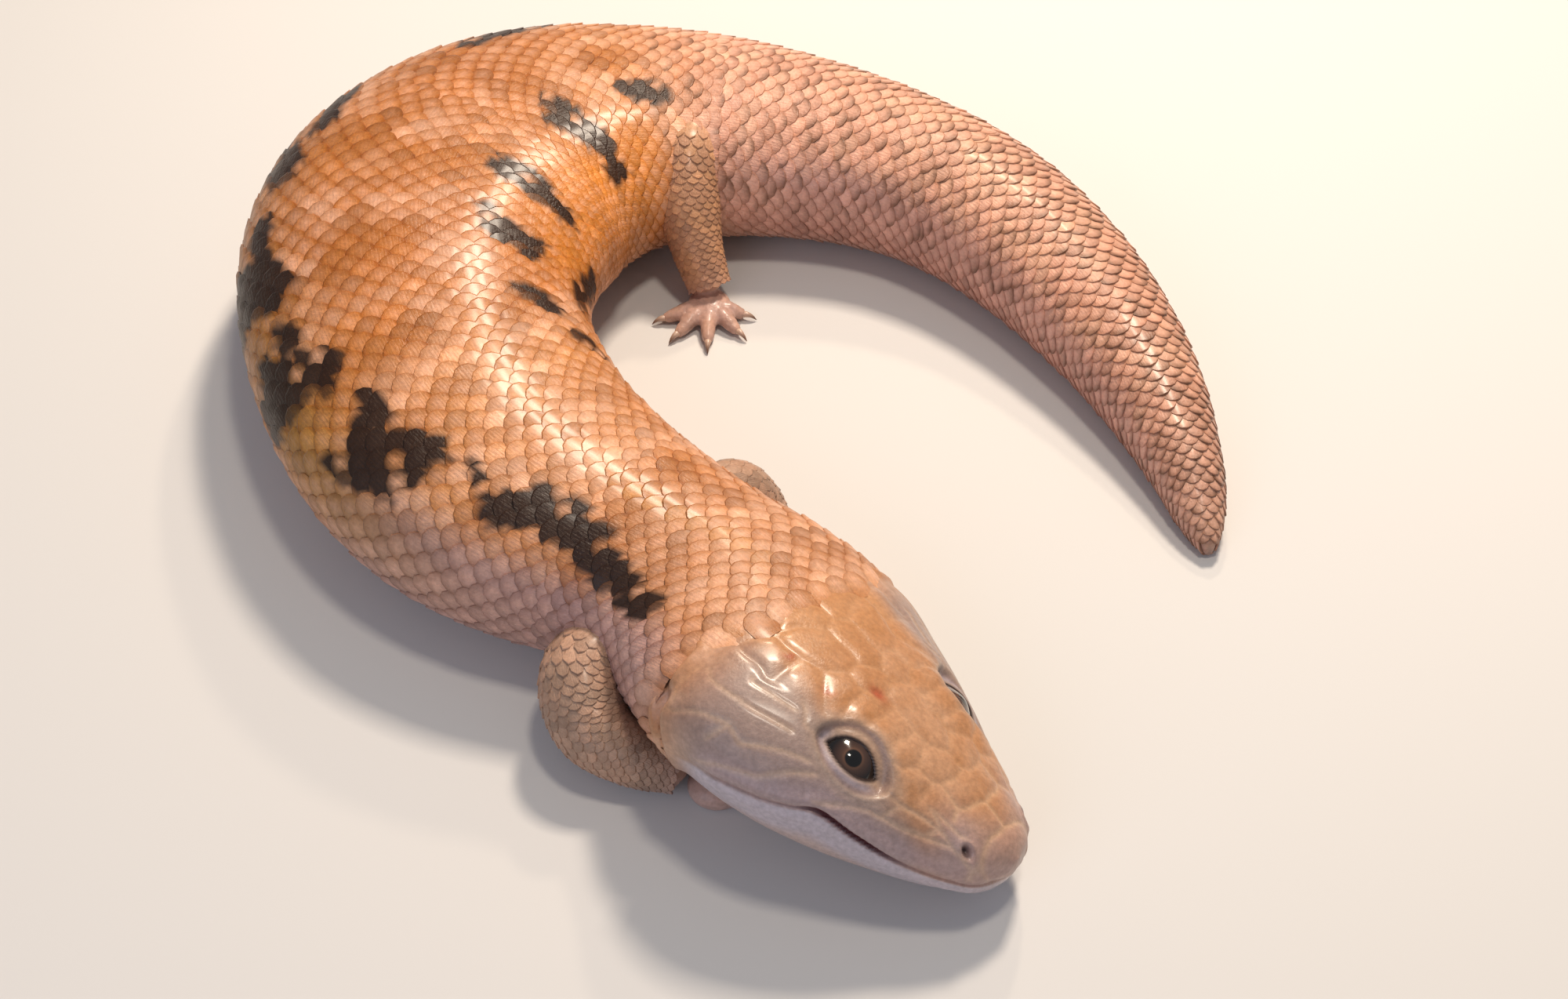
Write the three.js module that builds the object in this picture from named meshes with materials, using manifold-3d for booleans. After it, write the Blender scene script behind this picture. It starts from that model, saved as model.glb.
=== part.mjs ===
// A blue tongued skink at life size, lying in a C bend with the head turned back beside the tail.
// Millimetres, +Z up, floor at z = 0. Lengths along the animal are stations: 0 at the snout tip.
import * as THREE from "three";
import { mergeVertices } from "three/addons/utils/BufferGeometryUtils.js";
import Module from "manifold-3d";

const wasm = await Module();
wasm.setup();

// Driving sizes.
const LENGTH = 434;
const GAP = 0.3;
const SNOUT = { x: 38.7, y: -92.8 };
const DEG = Math.PI / 180;

// The way the spine runs from the head towards the tail, in degrees from +X, by station.
const HEADING = [
  [0, 136], [40, 136], [68, 131.7], [101, 146], [135, 128], [168, 102], [202, 69.9],
  [235, 29.6], [274, -4.2], [312, -24.5], [350, -50.9], [389, -67.5], [418, -78.7], [434, -84],
];
// Half the width of the body.
const HALF_WIDTH = [
  [0, 1.4], [2, 7], [5, 10.2], [11, 14.4], [18, 18.4], [25, 22.4], [36, 27.4], [48, 30],
  [58, 29.4], [68, 26.2], [80, 23], [92, 23.8], [110, 28.2], [130, 31.8], [159, 34], [197, 38.6],
  [222, 38], [240, 34.4], [255, 30.2], [280, 24.8], [312, 19.6], [346, 17.2], [374, 14.2], [398, 10.6],
  [415, 7.4], [427, 4.6], [433, 1.9], [434, 1],
];
// Height of the back above the floor.
const TOP = [
  [0, 13.4], [2, 16.2], [6, 19.4], [14, 24.2], [25, 29.6], [36, 33], [50, 34.8], [66, 34.6], [85, 34],
  [110, 37], [140, 41], [175, 44], [205, 44], [235, 41], [262, 37], [290, 34], [320, 31],
  [350, 27], [380, 22.5], [400, 18], [418, 13], [428, 8.4], [434, 4.4],
];
// Height of the chin, throat and belly. Below zero means pressed flat on the floor.
const BOTTOM = [
  [0, 9.6], [2, 6.2], [5, 4.8], [12, 3.4], [25, 2.2], [40, 1.8], [55, 1.6], [68, 0.4],
  [80, -0.6], [424, -0.5], [434, 0.8],
];
// Roll of the head and neck, right side up, in degrees.
const ROLL = [[0, 23], [44, 23], [60, 17], [78, 5], [94, 0], [434, 0]];
// How far the section's middle lies to the right of the spine.
const SWAY = [
  [0, 0], [10, 1.4], [25, 2.2], [40, 1.8], [50, 0.8], [60, -0.4], [70, -0.8], [84, 0],
  [100, 0.8], [120, 1.5], [140, 1.2], [165, 0.2], [200, 0], [222, -0.6], [245, -0.4], [270, 0], [434, 0],
];
// Roundness of a section: 2 is an ellipse and more is boxier.
const UPPER_POWER = 2.08;
const LOWER_POWER = 2.2;

// Where the body is parted.
const CUTS = { head: 58, neck: 94, torsoFront: 150, torsoMid: 212, torsoRear: 272, tailBase: 330, tailMid: 388 };
const RING = 32;
const HEAD_RING = 54;
const STEP = 6;
const HEAD_STEP = 1.8;

// Skin colours.
const TAN = 0xd9ab80;
const PINK = 0xd3a58b;
const GREY_TAN = 0xb4937a;
const IRIS = 0x2a1510;
const HORN = 0x6a4a38;

// Reads a table of [station, value] pairs as a smooth curve.
function along(table, s) {
  const last = table.length - 1;
  const x = Math.min(Math.max(s, table[0][0]), table[last][0]);
  let i = 0;
  while (i < last - 1 && x > table[i + 1][0]) i++;
  const slope = (k) => {
    const a = table[Math.max(k - 1, 0)];
    const b = table[Math.min(k + 1, last)];
    return (b[1] - a[1]) / (b[0] - a[0]);
  };
  const h = table[i + 1][0] - table[i][0];
  const t = (x - table[i][0]) / h;
  const t2 = t * t;
  const t3 = t2 * t;
  const start = (2 * t3 - 3 * t2 + 1) * table[i][1] + (t3 - 2 * t2 + t) * h * slope(i);
  const end = (3 * t2 - 2 * t3) * table[i + 1][1] + (t3 - t2) * h * slope(i + 1);
  return start + end;
}

// Points of the spine on the floor, one each half millimetre.
const SPINE_STEP = 0.5;
const spine = [{ x: SNOUT.x, y: SNOUT.y }];
for (let s = 0; s < LENGTH; s += SPINE_STEP) {
  const angle = along(HEADING, s + SPINE_STEP / 2) * DEG;
  const before = spine[spine.length - 1];
  spine.push({
    x: before.x + SPINE_STEP * Math.cos(angle),
    y: before.y + SPINE_STEP * Math.sin(angle),
  });
}

// The spine's place and direction at a station. "right" is the animal's right side.
function frameAt(s) {
  const k = Math.min(Math.max(s / SPINE_STEP, 0), spine.length - 2);
  const i = Math.floor(k);
  const f = k - i;
  const angle = along(HEADING, s) * DEG;
  return {
    x: spine[i].x + (spine[i + 1].x - spine[i].x) * f,
    y: spine[i].y + (spine[i + 1].y - spine[i].y) * f,
    back: new THREE.Vector3(Math.cos(angle), Math.sin(angle), 0),
    right: new THREE.Vector3(-Math.sin(angle), Math.cos(angle), 0),
  };
}

// A point given by station, distance to the right of the spine, and height.
function place(s, side, z, frame = frameAt(s)) {
  return new THREE.Vector3(frame.x + frame.right.x * side, frame.y + frame.right.y * side, z);
}

// Section of the body: angle 0 is the right flank, 90 the back, 180 the left flank, 270 the belly.
function sectionAt(s, angle, grow = 0) {
  const width = along(HALF_WIDTH, s) + grow;
  const top = along(TOP, s) + grow;
  const bottom = along(BOTTOM, s) - grow;
  const middle = (Math.max(bottom, 0) + top) / 2;
  const c = Math.cos(angle);
  const v = Math.sin(angle);
  const power = 2 / (v > 0 ? UPPER_POWER : LOWER_POWER);
  const reach = v > 0 ? top - middle : middle - bottom;
  return {
    across: width * Math.sign(c) * Math.abs(c) ** power,
    rise: reach * Math.sign(v) * Math.abs(v) ** power,
  };
}

// A point given in the head's own section: how far across to the right and how far above its
// middle, turned with the head's roll.
function inSection(s, across, rise, frame = frameAt(s)) {
  const roll = along(ROLL, s) * DEG;
  const middle = (Math.max(along(BOTTOM, s), 0) + along(TOP, s)) / 2;
  const side = along(SWAY, s) + across * Math.cos(roll) - rise * Math.sin(roll);
  return place(s, side, middle + across * Math.sin(roll) + rise * Math.cos(roll), frame);
}

const smooth = (a, b, x) => THREE.MathUtils.smoothstep(x, a, b);
const bump = (distance, reach) => Math.exp(-((distance / reach) ** 2));

// Head sizes.
const EYE = { s: 24.6, across: 13, rise: 5.6, radius: 4.7 };
const EYE_FACING = { across: 0.8, up: 0.57, ahead: 0.2 };
const EYE_OPENING = { along: 4.7, across: 2.9, deep: 4 };
const NOSTRIL = { s: 4.6, across: 8.6, rise: 3.4, radius: 0.95 };
const EAR = { s: 55.4, rise: 2, wide: 1.9, tall: 3.4, deep: 2.6 };
const PLATE_HEIGHT = 0.4;
const PLATE_EDGE = 1.3;

// Shields of the crown and cheek: each is a short stroke from one end to the other, as
// [station, arc distance from the midline] pairs. Those off the midline repeat on both sides.
const SHIELDS = [
  [0.8, 0, 1.4, 3], [6.4, 2.6, 7, 6.2], [11.6, 0, 11.6, 3.4], [16, 2.6, 18, 5],
  [21, 0, 29, 0], [20.5, 6.4, 21, 8.4], [25, 6.8, 25.4, 9.6], [29.8, 7, 30, 9.6],
  [33.4, 2.6, 34, 4.2], [37.5, 0, 41.5, 0], [40, 5.4, 46.5, 9], [34.4, 9.2, 35, 12],
  [12, 8.6, 12.6, 10], [16.8, 10.4, 17.4, 12.2], [37.6, 14.5, 42, 15.5], [44.5, 15.5, 49, 16],
  [34.5, 17, 37, 19], [40, 20.5, 44.5, 21], [47.5, 21.5, 51, 22], [50.6, 4, 51.4, 8],
  [53, 11, 53.4, 15], [56.5, 3, 57, 8], [30, 16.8, 31, 19], [24, 17.6, 26, 18], [19, 15, 20, 17],
];

// Distance from a point to a stroke.
function toStroke(x, y, [x0, y0, x1, y1]) {
  const dx = x1 - x0;
  const dy = y1 - y0;
  const run = dx * dx + dy * dy;
  const t = run > 0 ? Math.min(Math.max(((x - x0) * dx + (y - y0) * dy) / run, 0), 1) : 0;
  return Math.hypot(x - x0 - t * dx, y - y0 - t * dy);
}

// How far a point of the crown stands up as part of a shield: 0 in the seams, 1 on a plate.
function plateAt(s, arc) {
  let first = Infinity;
  let second = Infinity;
  for (const stroke of SHIELDS) {
    const d = toStroke(s, Math.abs(arc), stroke);
    if (d < first) {
      second = first;
      first = d;
    } else if (d < second) {
      second = d;
    }
  }
  const middleSeam = SHIELDS.some((k) => k[1] === 0 && toStroke(s, Math.abs(arc), k) === first)
    ? Infinity
    : 2 * Math.abs(arc);
  return smooth(0, PLATE_EDGE, Math.min(second - first, middleSeam));
}

// The skin's height over the plain section of the head: plates, brow, lids and cheek.
function headRelief(s, angle, { across, rise }) {
  const reach = (along(TOP, s) - along(BOTTOM, s)) / 2;
  const arc = Math.abs(angle - Math.PI / 2) * ((along(HALF_WIDTH, s) + reach) / 2);
  const toEye = [s - EYE.s, Math.abs(across) - EYE.across - 2.6, rise - EYE.rise - 2.6];
  const fromEye = Math.hypot(...toEye);
  const lids = 1.3 * bump(fromEye - 3.4, 2);
  const crease = -0.7 * bump(fromEye - 7.2, 1.2);
  const brow = 1 * bump(s - EYE.s, 8) * bump(arc - 12, 3.5);
  const cheek = 0.8 * bump(s - 46, 8) * bump(rise, 6);
  const crown = (1 - smooth(53, CUTS.head, s)) * (1 - smooth(22, 25, arc));
  const plates = PLATE_HEIGHT * plateAt(s, arc) * crown * smooth(4, 8, fromEye);
  return lids + crease + brow + cheek + plates;
}

// Builds a closed surface from rings of points with the same count, closed by flat fans.
function skinRings(rings) {
  const count = rings[0].length;
  const positions = [];
  for (const ring of rings) {
    for (const p of ring) positions.push(p.x, p.y, p.z);
  }
  const faces = [];
  for (let r = 0; r < rings.length - 1; r++) {
    for (let k = 0; k < count; k++) {
      const a = r * count + k;
      const b = r * count + ((k + 1) % count);
      faces.push(a, a + count, b, b, a + count, b + count);
    }
  }
  const fan = (ring, offset, outward) => {
    const centre = ring.reduce((sum, p) => sum.add(p), new THREE.Vector3()).divideScalar(count);
    const tip = positions.length / 3;
    positions.push(centre.x, centre.y, centre.z);
    for (let k = 0; k < count; k++) {
      const a = offset + k;
      const b = offset + ((k + 1) % count);
      faces.push(...(outward ? [tip, b, a] : [tip, a, b]));
    }
  };
  fan(rings[0], 0, false);
  fan(rings[rings.length - 1], (rings.length - 1) * count, true);
  const geometry = new THREE.BufferGeometry();
  geometry.setAttribute("position", new THREE.Float32BufferAttribute(positions, 3));
  geometry.setIndex(faces);
  return geometry;
}

// A geometry as a solid that can be joined and cut, facing out.
function solid(geometry) {
  const bare = new THREE.BufferGeometry();
  const plain = geometry.index ? geometry.toNonIndexed() : geometry;
  bare.setAttribute("position", plain.getAttribute("position"));
  const merged = mergeVertices(bare, 1e-4);
  const make = (triVerts) =>
    new wasm.Manifold(
      new wasm.Mesh({ numProp: 3, vertProperties: merged.attributes.position.array, triVerts }),
    );
  const indices = new Uint32Array(merged.index.array);
  const made = make(indices);
  return made.volume() < 0 ? make(indices.reverse()) : made;
}

// The largest closed surface of a solid, as a geometry.
function largest(shape) {
  const bodies = shape.decompose().sort((a, b) => b.volume() - a.volume());
  const mesh = bodies[0].getMesh();
  const geometry = new THREE.BufferGeometry();
  const positions = new Float32Array(mesh.numVert * 3);
  for (let i = 0; i < mesh.numVert; i++) {
    positions.set(mesh.vertProperties.subarray(i * mesh.numProp, i * mesh.numProp + 3), i * 3);
  }
  geometry.setAttribute("position", new THREE.BufferAttribute(positions, 3));
  geometry.setIndex(new THREE.BufferAttribute(mesh.triVerts, 1));
  return geometry;
}

// Stations from one end of a length to the other, evenly spaced and close to a step.
function stations(from, to, step) {
  const count = Math.max(2, Math.round((to - from) / step));
  return Array.from({ length: count + 1 }, (_, i) => from + ((to - from) * i) / count);
}

// One ring of the body. At a cut the ring lies in the cut's own plane, half a gap from it.
function bodyRing(s, count, { shift = 0, grow = 0, relief = null } = {}) {
  const frame = frameAt(s);
  return Array.from({ length: count }, (_, k) => {
    const angle = (2 * Math.PI * (k + 0.5)) / count - Math.PI / 2;
    const section = sectionAt(s, angle, grow);
    const out = new THREE.Vector2(section.across, section.rise).normalize();
    out.multiplyScalar(relief ? relief(s, angle, section) : 0);
    const point = inSection(s, section.across + out.x, section.rise + out.y, frame);
    point.addScaledVector(frame.back, shift);
    if (grow === 0) point.z = Math.max(point.z, 0);
    return point;
  });
}

// A length of the body between two stations, with flat ends a half gap inside each cut.
function bodyLength(from, to, { openEnd = false } = {}) {
  const inner = stations(from, to, STEP).slice(1, -1);
  const rings = [
    bodyRing(from, RING, { shift: GAP / 2 }),
    ...inner.map((s) => bodyRing(s, RING)),
    bodyRing(to, RING, { shift: openEnd ? 0 : -GAP / 2 }),
  ];
  return skinRings(rings);
}

// The whole body, a gap larger all round, to cut the roots of the limbs clear of it.
function clearance() {
  const from = stations(4, 40, 4);
  const rest = stations(40, LENGTH, STEP);
  return solid(skinRings([...from, ...rest.slice(1)].map((s) => bodyRing(s, RING, { grow: GAP }))));
}

// An ellipsoid with its own axes, as a solid.
function ellipsoid(centre, axes, radii, detail = 10) {
  const geometry = new THREE.SphereGeometry(1, detail * 2, detail);
  const matrix = new THREE.Matrix4().makeBasis(
    axes[0].clone().multiplyScalar(radii[0]),
    axes[1].clone().multiplyScalar(radii[1]),
    axes[2].clone().multiplyScalar(radii[2]),
  );
  matrix.setPosition(centre);
  geometry.applyMatrix4(matrix);
  return solid(geometry);
}

// The mouth: how high its line runs above the section's middle, and how far the lips part.
const MOUTH = [
  [-6, -2.2], [0, -2.2], [4, -1.9], [13, -1.3], [19, -0.1], [26, 1.1], [33, -1], [39, -2], [44, -3],
];
const MOUTH_CORNER = 44;
const MOUTH_GAP = [[-6, 0.3], [6, 0.35], [14, 0.7], [26, 0.9], [36, 0.5], [44, 0.3], [60, 0.3]];
const HINGE = { s: 56, rise: -26 };

// A thin curved blade along the mouth line that then drops behind the jaw to the throat.
function mouthBlade() {
  const reach = 40;
  const path = stations(-6, MOUTH_CORNER, 4).map((s) => ({ s, rise: along(MOUTH, s) }));
  path.push(HINGE);
  const rings = path.map(({ s, rise }, i) => {
    const frame = frameAt(Math.max(s, 0));
    const half = along(MOUTH_GAP, s) / 2;
    const before = path[Math.max(i - 1, 0)];
    const after = path[Math.min(i + 1, path.length - 1)];
    const run = new THREE.Vector2(after.s - before.s, after.rise - before.rise).normalize();
    const corner = (across, way) =>
      inSection(s, across, rise + way * half * run.x, frame).addScaledVector(
        frame.back,
        Math.min(s, 0) - way * half * run.y,
      );
    return [corner(-reach, -1), corner(reach, -1), corner(reach, 1), corner(-reach, 1)];
  });
  return solid(skinRings(rings));
}

// Axes of a side of the head at the eye: along, across and outwards, turned with the roll.
function eyeAxes(sign) {
  const frame = frameAt(EYE.s);
  const roll = along(ROLL, EYE.s) * DEG;
  const over = frame.right.clone().multiplyScalar(Math.cos(roll));
  over.z = Math.sin(roll);
  const up = frame.right.clone().multiplyScalar(-Math.sin(roll));
  up.z = Math.cos(roll);
  const out = over.multiplyScalar(sign * EYE_FACING.across);
  out.addScaledVector(up, EYE_FACING.up).addScaledVector(frame.back, -EYE_FACING.ahead).normalize();
  const run = frame.back.clone();
  run.addScaledVector(out, -run.dot(out)).normalize();
  return [run, new THREE.Vector3().crossVectors(out, run), out];
}

const parts = [];
const bodyMaterial = (color, roughness = 0.45) =>
  new THREE.MeshStandardMaterial({ color, roughness, metalness: 0 });
const materials = {
  back: bodyMaterial(TAN),
  tail: bodyMaterial(PINK),
  head: bodyMaterial(GREY_TAN, 0.35),
  limb: bodyMaterial(GREY_TAN),
  eye: bodyMaterial(IRIS, 0.05),
  claw: bodyMaterial(HORN, 0.4),
};

function addPart(name, geometry, material) {
  const mesh = new THREE.Mesh(geometry, material);
  mesh.name = name;
  parts.push(mesh);
}

// The head and the lower jaw, parted by the blade, with pits for eyes, nostrils and ears.
function buildHead() {
  const front = [0, 0.5, 1.2, 2.2, 3.4, 4.8];
  const rest = stations(6.3, CUTS.head, HEAD_STEP);
  const rings = [...front, ...rest].map((s) =>
    bodyRing(s, HEAD_RING, { relief: headRelief, shift: s === CUTS.head ? -GAP / 2 : 0 }),
  );
  let whole = solid(skinRings(rings));
  for (const sign of [1, -1]) {
    const axes = eyeAxes(sign);
    const eye = inSection(EYE.s, sign * EYE.across, EYE.rise);
    const opening = eye.clone().addScaledVector(axes[2], EYE.radius);
    const { along: long, across, deep } = EYE_OPENING;
    whole = whole.subtract(ellipsoid(eye, axes, Array(3).fill(EYE.radius + GAP)));
    whole = whole.subtract(ellipsoid(opening, axes, [long, across, deep], 8));
    const nostril = inSection(NOSTRIL.s, sign * NOSTRIL.across, NOSTRIL.rise);
    const pit = [NOSTRIL.radius * 1.3, NOSTRIL.radius, NOSTRIL.radius * 1.5];
    whole = whole.subtract(ellipsoid(nostril, axes, pit, 5));
    const ear = frameAt(EAR.s);
    const flank = along(HALF_WIDTH, EAR.s);
    const up = new THREE.Vector3(0, 0, 1);
    const cup = [ear.back, up, new THREE.Vector3().crossVectors(ear.back, up)];
    const hollow = inSection(EAR.s, sign * flank, EAR.rise);
    whole = whole.subtract(ellipsoid(hollow, cup, [EAR.wide, EAR.tall, EAR.deep], 7));
    const ball = ellipsoid(eye, axes, Array(3).fill(EYE.radius));
    addPart(sign > 0 ? "eye_right" : "eye_left", largest(ball), materials.eye);
  }
  const bodies = whole.subtract(mouthBlade()).decompose();
  bodies.sort((a, b) => b.volume() - a.volume());
  addPart("head", largest(bodies[0]), materials.head);
  addPart("lower_jaw", largest(bodies[1]), materials.head);
}

// Limb sizes. Each path runs from inside the body to the wrist or ankle, as [x, y, z] points.
const LIMB_RING = 14;
const LIMB_STEPS = 14;
const LIMBS = [
  {
    name: "front_right",
    path: [[-30, -46.5, 15], [-36, -54.5, 14], [-34, -62.5, 9.8], [-27, -67, 7], [-19, -68.8, 5]],
    radii: [7.6, 7.9, 7.4, 5.7, 4.3],
    split: 0.5,
    foot: { x: -12, y: -70, heading: -6, toes: [62, 38, 14, -9, -32], reach: [8, 9.4, 10, 9.4, 7.6] },
  },
  {
    name: "front_left",
    path: [[-20, -26, 17], [-11, -15, 17], [-6.5, -12.5, 12], [-3, -15, 8], [1.5, -18, 5]],
    radii: [7, 7.6, 7.4, 5.8, 4.2],
    split: 0.5,
    foot: { x: 5, y: -20, heading: -34, toes: [-40, -16, 8, 34, 60], reach: [7.6, 9, 9.6, 9, 7.4] },
  },
  {
    name: "hind_left",
    path: [[-20.5, 87, 21], [-21, 79.5, 25], [-21, 70.5, 20], [-18.8, 62.5, 11.5], [-16.4, 58, 5.4]],
    radii: [9.2, 8.7, 7.4, 5.8, 4.7],
    split: 0.5,
    foot: { x: -16.4, y: 54.5, heading: -92, toes: [-70, -38, 2, 44, 78], reach: [9.8, 10, 10, 9.4, 7.6] },
  },
  {
    name: "hind_right",
    path: [[-15, 108, 12], [-9, 119, 10], [2, 124, 7.4], [10, 122.5, 6], [16, 120.5, 4.6]],
    radii: [7.4, 7, 6, 5, 3.9],
    split: 0.5,
    foot: { x: 20, y: 119.5, heading: -14, toes: [-50, -26, -2, 22, 52], reach: [8, 9, 10, 10, 7.6] },
  },
];
const TOE_RADIUS = 1.75;
const TOE_TIP = 1.15;
const CLAW_LENGTH = 2.9;
const CLAW_RADIUS = 0.78;
const PALM = { long: 5.4, wide: 4.9, high: 3.1 };

// Rings of a tube along a smooth path.
function tubeRings(path, radii, steps, count) {
  const curve = new THREE.CatmullRomCurve3(path.map((p) => new THREE.Vector3(...p)));
  const table = radii.map((r, i) => [i / (radii.length - 1), r]);
  const up = new THREE.Vector3(0, 0, 1);
  return stations(0, 1, 1 / steps).map((t) => {
    const tangent = curve.getTangentAt(t);
    const centre = curve.getPointAt(t);
    const across = new THREE.Vector3().crossVectors(up, tangent).normalize();
    const rise = new THREE.Vector3().crossVectors(tangent, across);
    const radius = along(table, t);
    return Array.from({ length: count }, (_, k) => {
      const angle = (2 * Math.PI * k) / count;
      const point = centre
        .clone()
        .addScaledVector(across, radius * Math.cos(angle))
        .addScaledVector(rise, radius * Math.sin(angle));
      point.z = Math.max(point.z, 0);
      return point;
    });
  });
}

// A palm with five toes, flat on the floor, and a separate claw at the end of each toe.
function buildFoot({ name, foot }, cut) {
  const forward = foot.heading * DEG;
  const along3 = new THREE.Vector3(Math.cos(forward), Math.sin(forward), 0);
  const across3 = new THREE.Vector3(-along3.y, along3.x, 0);
  const up = new THREE.Vector3(0, 0, 1);
  const centre = new THREE.Vector3(foot.x, foot.y, PALM.high * 0.6);
  const palmGeometry = new THREE.SphereGeometry(1, 14, 8);
  palmGeometry.applyMatrix4(
    new THREE.Matrix4()
      .makeBasis(
        along3.clone().multiplyScalar(PALM.long),
        across3.clone().multiplyScalar(PALM.wide),
        up.clone().multiplyScalar(PALM.high),
      )
      .setPosition(centre),
  );
  const spots = palmGeometry.getAttribute("position");
  for (let i = 0; i < spots.count; i++) spots.setZ(i, Math.max(spots.getZ(i), 0));
  let whole = solid(palmGeometry);
  foot.toes.forEach((turn, i) => {
    const angle = (foot.heading + turn) * DEG;
    const way = [Math.cos(angle), Math.sin(angle)];
    const point = (d, z) => [foot.x + way[0] * d, foot.y + way[1] * d, z];
    const reach = foot.reach[i];
    const path = [point(1.5, 2.2), point(reach * 0.45, 2.5), point(reach * 0.72, 1.9), point(reach, 1.3)];
    const radii = [TOE_RADIUS, TOE_RADIUS, TOE_RADIUS * 0.94, TOE_TIP];
    whole = whole.add(solid(skinRings(tubeRings(path, radii, 5, 8))));
    const root = reach + GAP;
    const clawPath = [point(root, 1.25), point(root + CLAW_LENGTH * 0.5, 1.3), point(root + CLAW_LENGTH, 0.35)];
    const clawRadii = [CLAW_RADIUS, CLAW_RADIUS * 0.7, 0.16];
    const claw = skinRings(tubeRings(clawPath, clawRadii, 3, 6));
    addPart("claw_" + name + "_" + (i + 1), largest(solid(claw)), materials.claw);
  });
  addPart("foot_" + name, largest(whole.subtract(cut)), materials.limb);
}

// One limb: the upper and the lower part, cut clear of the body, and the foot clear of the limb.
function buildLimb(limb, bodyRoom) {
  const { path, radii, split } = limb;
  const whole = solid(skinRings(tubeRings(path, radii, LIMB_STEPS, LIMB_RING))).subtract(bodyRoom);
  const grown = radii.map((r) => r + GAP);
  const limbRoom = solid(skinRings(tubeRings(path, grown, LIMB_STEPS, LIMB_RING)));
  const curve = new THREE.CatmullRomCurve3(path.map((p) => new THREE.Vector3(...p)));
  const joint = curve.getPointAt(split);
  const slab = new THREE.BoxGeometry(60, 60, GAP);
  const turned = new THREE.Object3D();
  turned.position.copy(joint);
  turned.lookAt(joint.clone().add(curve.getTangentAt(split)));
  turned.updateMatrix();
  const pieces = whole.subtract(solid(slab.applyMatrix4(turned.matrix))).decompose();
  pieces.sort((a, b) => b.volume() - a.volume());
  const toShoulder = (piece) => {
    const { min, max } = piece.boundingBox();
    const centre = new THREE.Vector3(...min).add(new THREE.Vector3(...max)).divideScalar(2);
    return centre.distanceTo(new THREE.Vector3(...path[0]));
  };
  const [upper, lower] = pieces.slice(0, 2).sort((a, b) => toShoulder(a) - toShoulder(b));
  const kind = limb.name.startsWith("front") ? ["upper_arm_", "forearm_"] : ["thigh_", "shank_"];
  addPart(kind[0] + limb.name, largest(upper), materials.limb);
  addPart(kind[1] + limb.name, largest(lower), materials.limb);
  buildFoot(limb, limbRoom);
}

buildHead();
const lengths = [
  ["neck", CUTS.head, CUTS.neck, materials.back],
  ["torso_front", CUTS.neck, CUTS.torsoFront, materials.back],
  ["torso_middle", CUTS.torsoFront, CUTS.torsoMid, materials.back],
  ["torso_rear", CUTS.torsoMid, CUTS.torsoRear, materials.back],
  ["tail_base", CUTS.torsoRear, CUTS.tailBase, materials.tail],
  ["tail_middle", CUTS.tailBase, CUTS.tailMid, materials.tail],
];
for (const [name, from, to, material] of lengths) {
  addPart(name, largest(solid(bodyLength(from, to))), material);
}
const tip = bodyLength(CUTS.tailMid, LENGTH, { openEnd: true });
addPart("tail_tip", largest(solid(tip)), materials.tail);
const bodyRoom = clearance();
for (const limb of LIMBS) buildLimb(limb, bodyRoom);

// The origin is the middle of the animal's floor plan.
const group = new THREE.Group();
group.add(...parts);
const box = new THREE.Box3().setFromObject(group);
const middle = box.getCenter(new THREE.Vector3());
group.position.set(-middle.x, -middle.y, -box.min.z);

export default group;
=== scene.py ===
"""A blue tongued skink at life size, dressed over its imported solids.

One skin carries the head's shields, lids and lips. Overlapping scales lie over it in
staggered rings. Lengths in the tables are millimetres, and a station is the distance
from the snout along the spine.
"""
import logging
import math
from collections.abc import Callable
from dataclasses import dataclass, field
from enum import Enum

import bpy
import numpy as np
from mathutils import Euler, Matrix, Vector
from mathutils.bvhtree import BVHTree


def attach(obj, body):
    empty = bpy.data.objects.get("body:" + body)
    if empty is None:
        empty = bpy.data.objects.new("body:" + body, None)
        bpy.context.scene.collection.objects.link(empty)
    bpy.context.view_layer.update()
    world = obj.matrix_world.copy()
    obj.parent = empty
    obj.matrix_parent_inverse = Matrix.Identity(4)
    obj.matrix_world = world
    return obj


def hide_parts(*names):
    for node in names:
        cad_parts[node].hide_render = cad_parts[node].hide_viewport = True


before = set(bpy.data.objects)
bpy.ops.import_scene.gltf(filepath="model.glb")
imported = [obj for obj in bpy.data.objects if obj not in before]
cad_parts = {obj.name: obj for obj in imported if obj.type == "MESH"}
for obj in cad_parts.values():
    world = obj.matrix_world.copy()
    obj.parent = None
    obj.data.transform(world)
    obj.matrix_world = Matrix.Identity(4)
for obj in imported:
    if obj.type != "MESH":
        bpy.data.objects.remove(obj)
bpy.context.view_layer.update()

LOG = logging.getLogger("skink")
Array = np.ndarray

MM = 0.001
# Snout to tail tip along the spine, and where the head's own mesh ends.
LENGTH = 434.0
HEAD_END = 62.0
# How far the mesh of limbs and scales stays over the floor, and the skin of the body.
FLOOR_GAP = 0.02
BELLY_GAP = 0.2
# From one cross ridge of a toe to the next.
RIPPLE_PITCH = 1.5
SNOUT = (38.7, -92.8)
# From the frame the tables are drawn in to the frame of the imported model.
OFFSET = (12.4824, -16.0925)
SEED = 7

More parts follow.
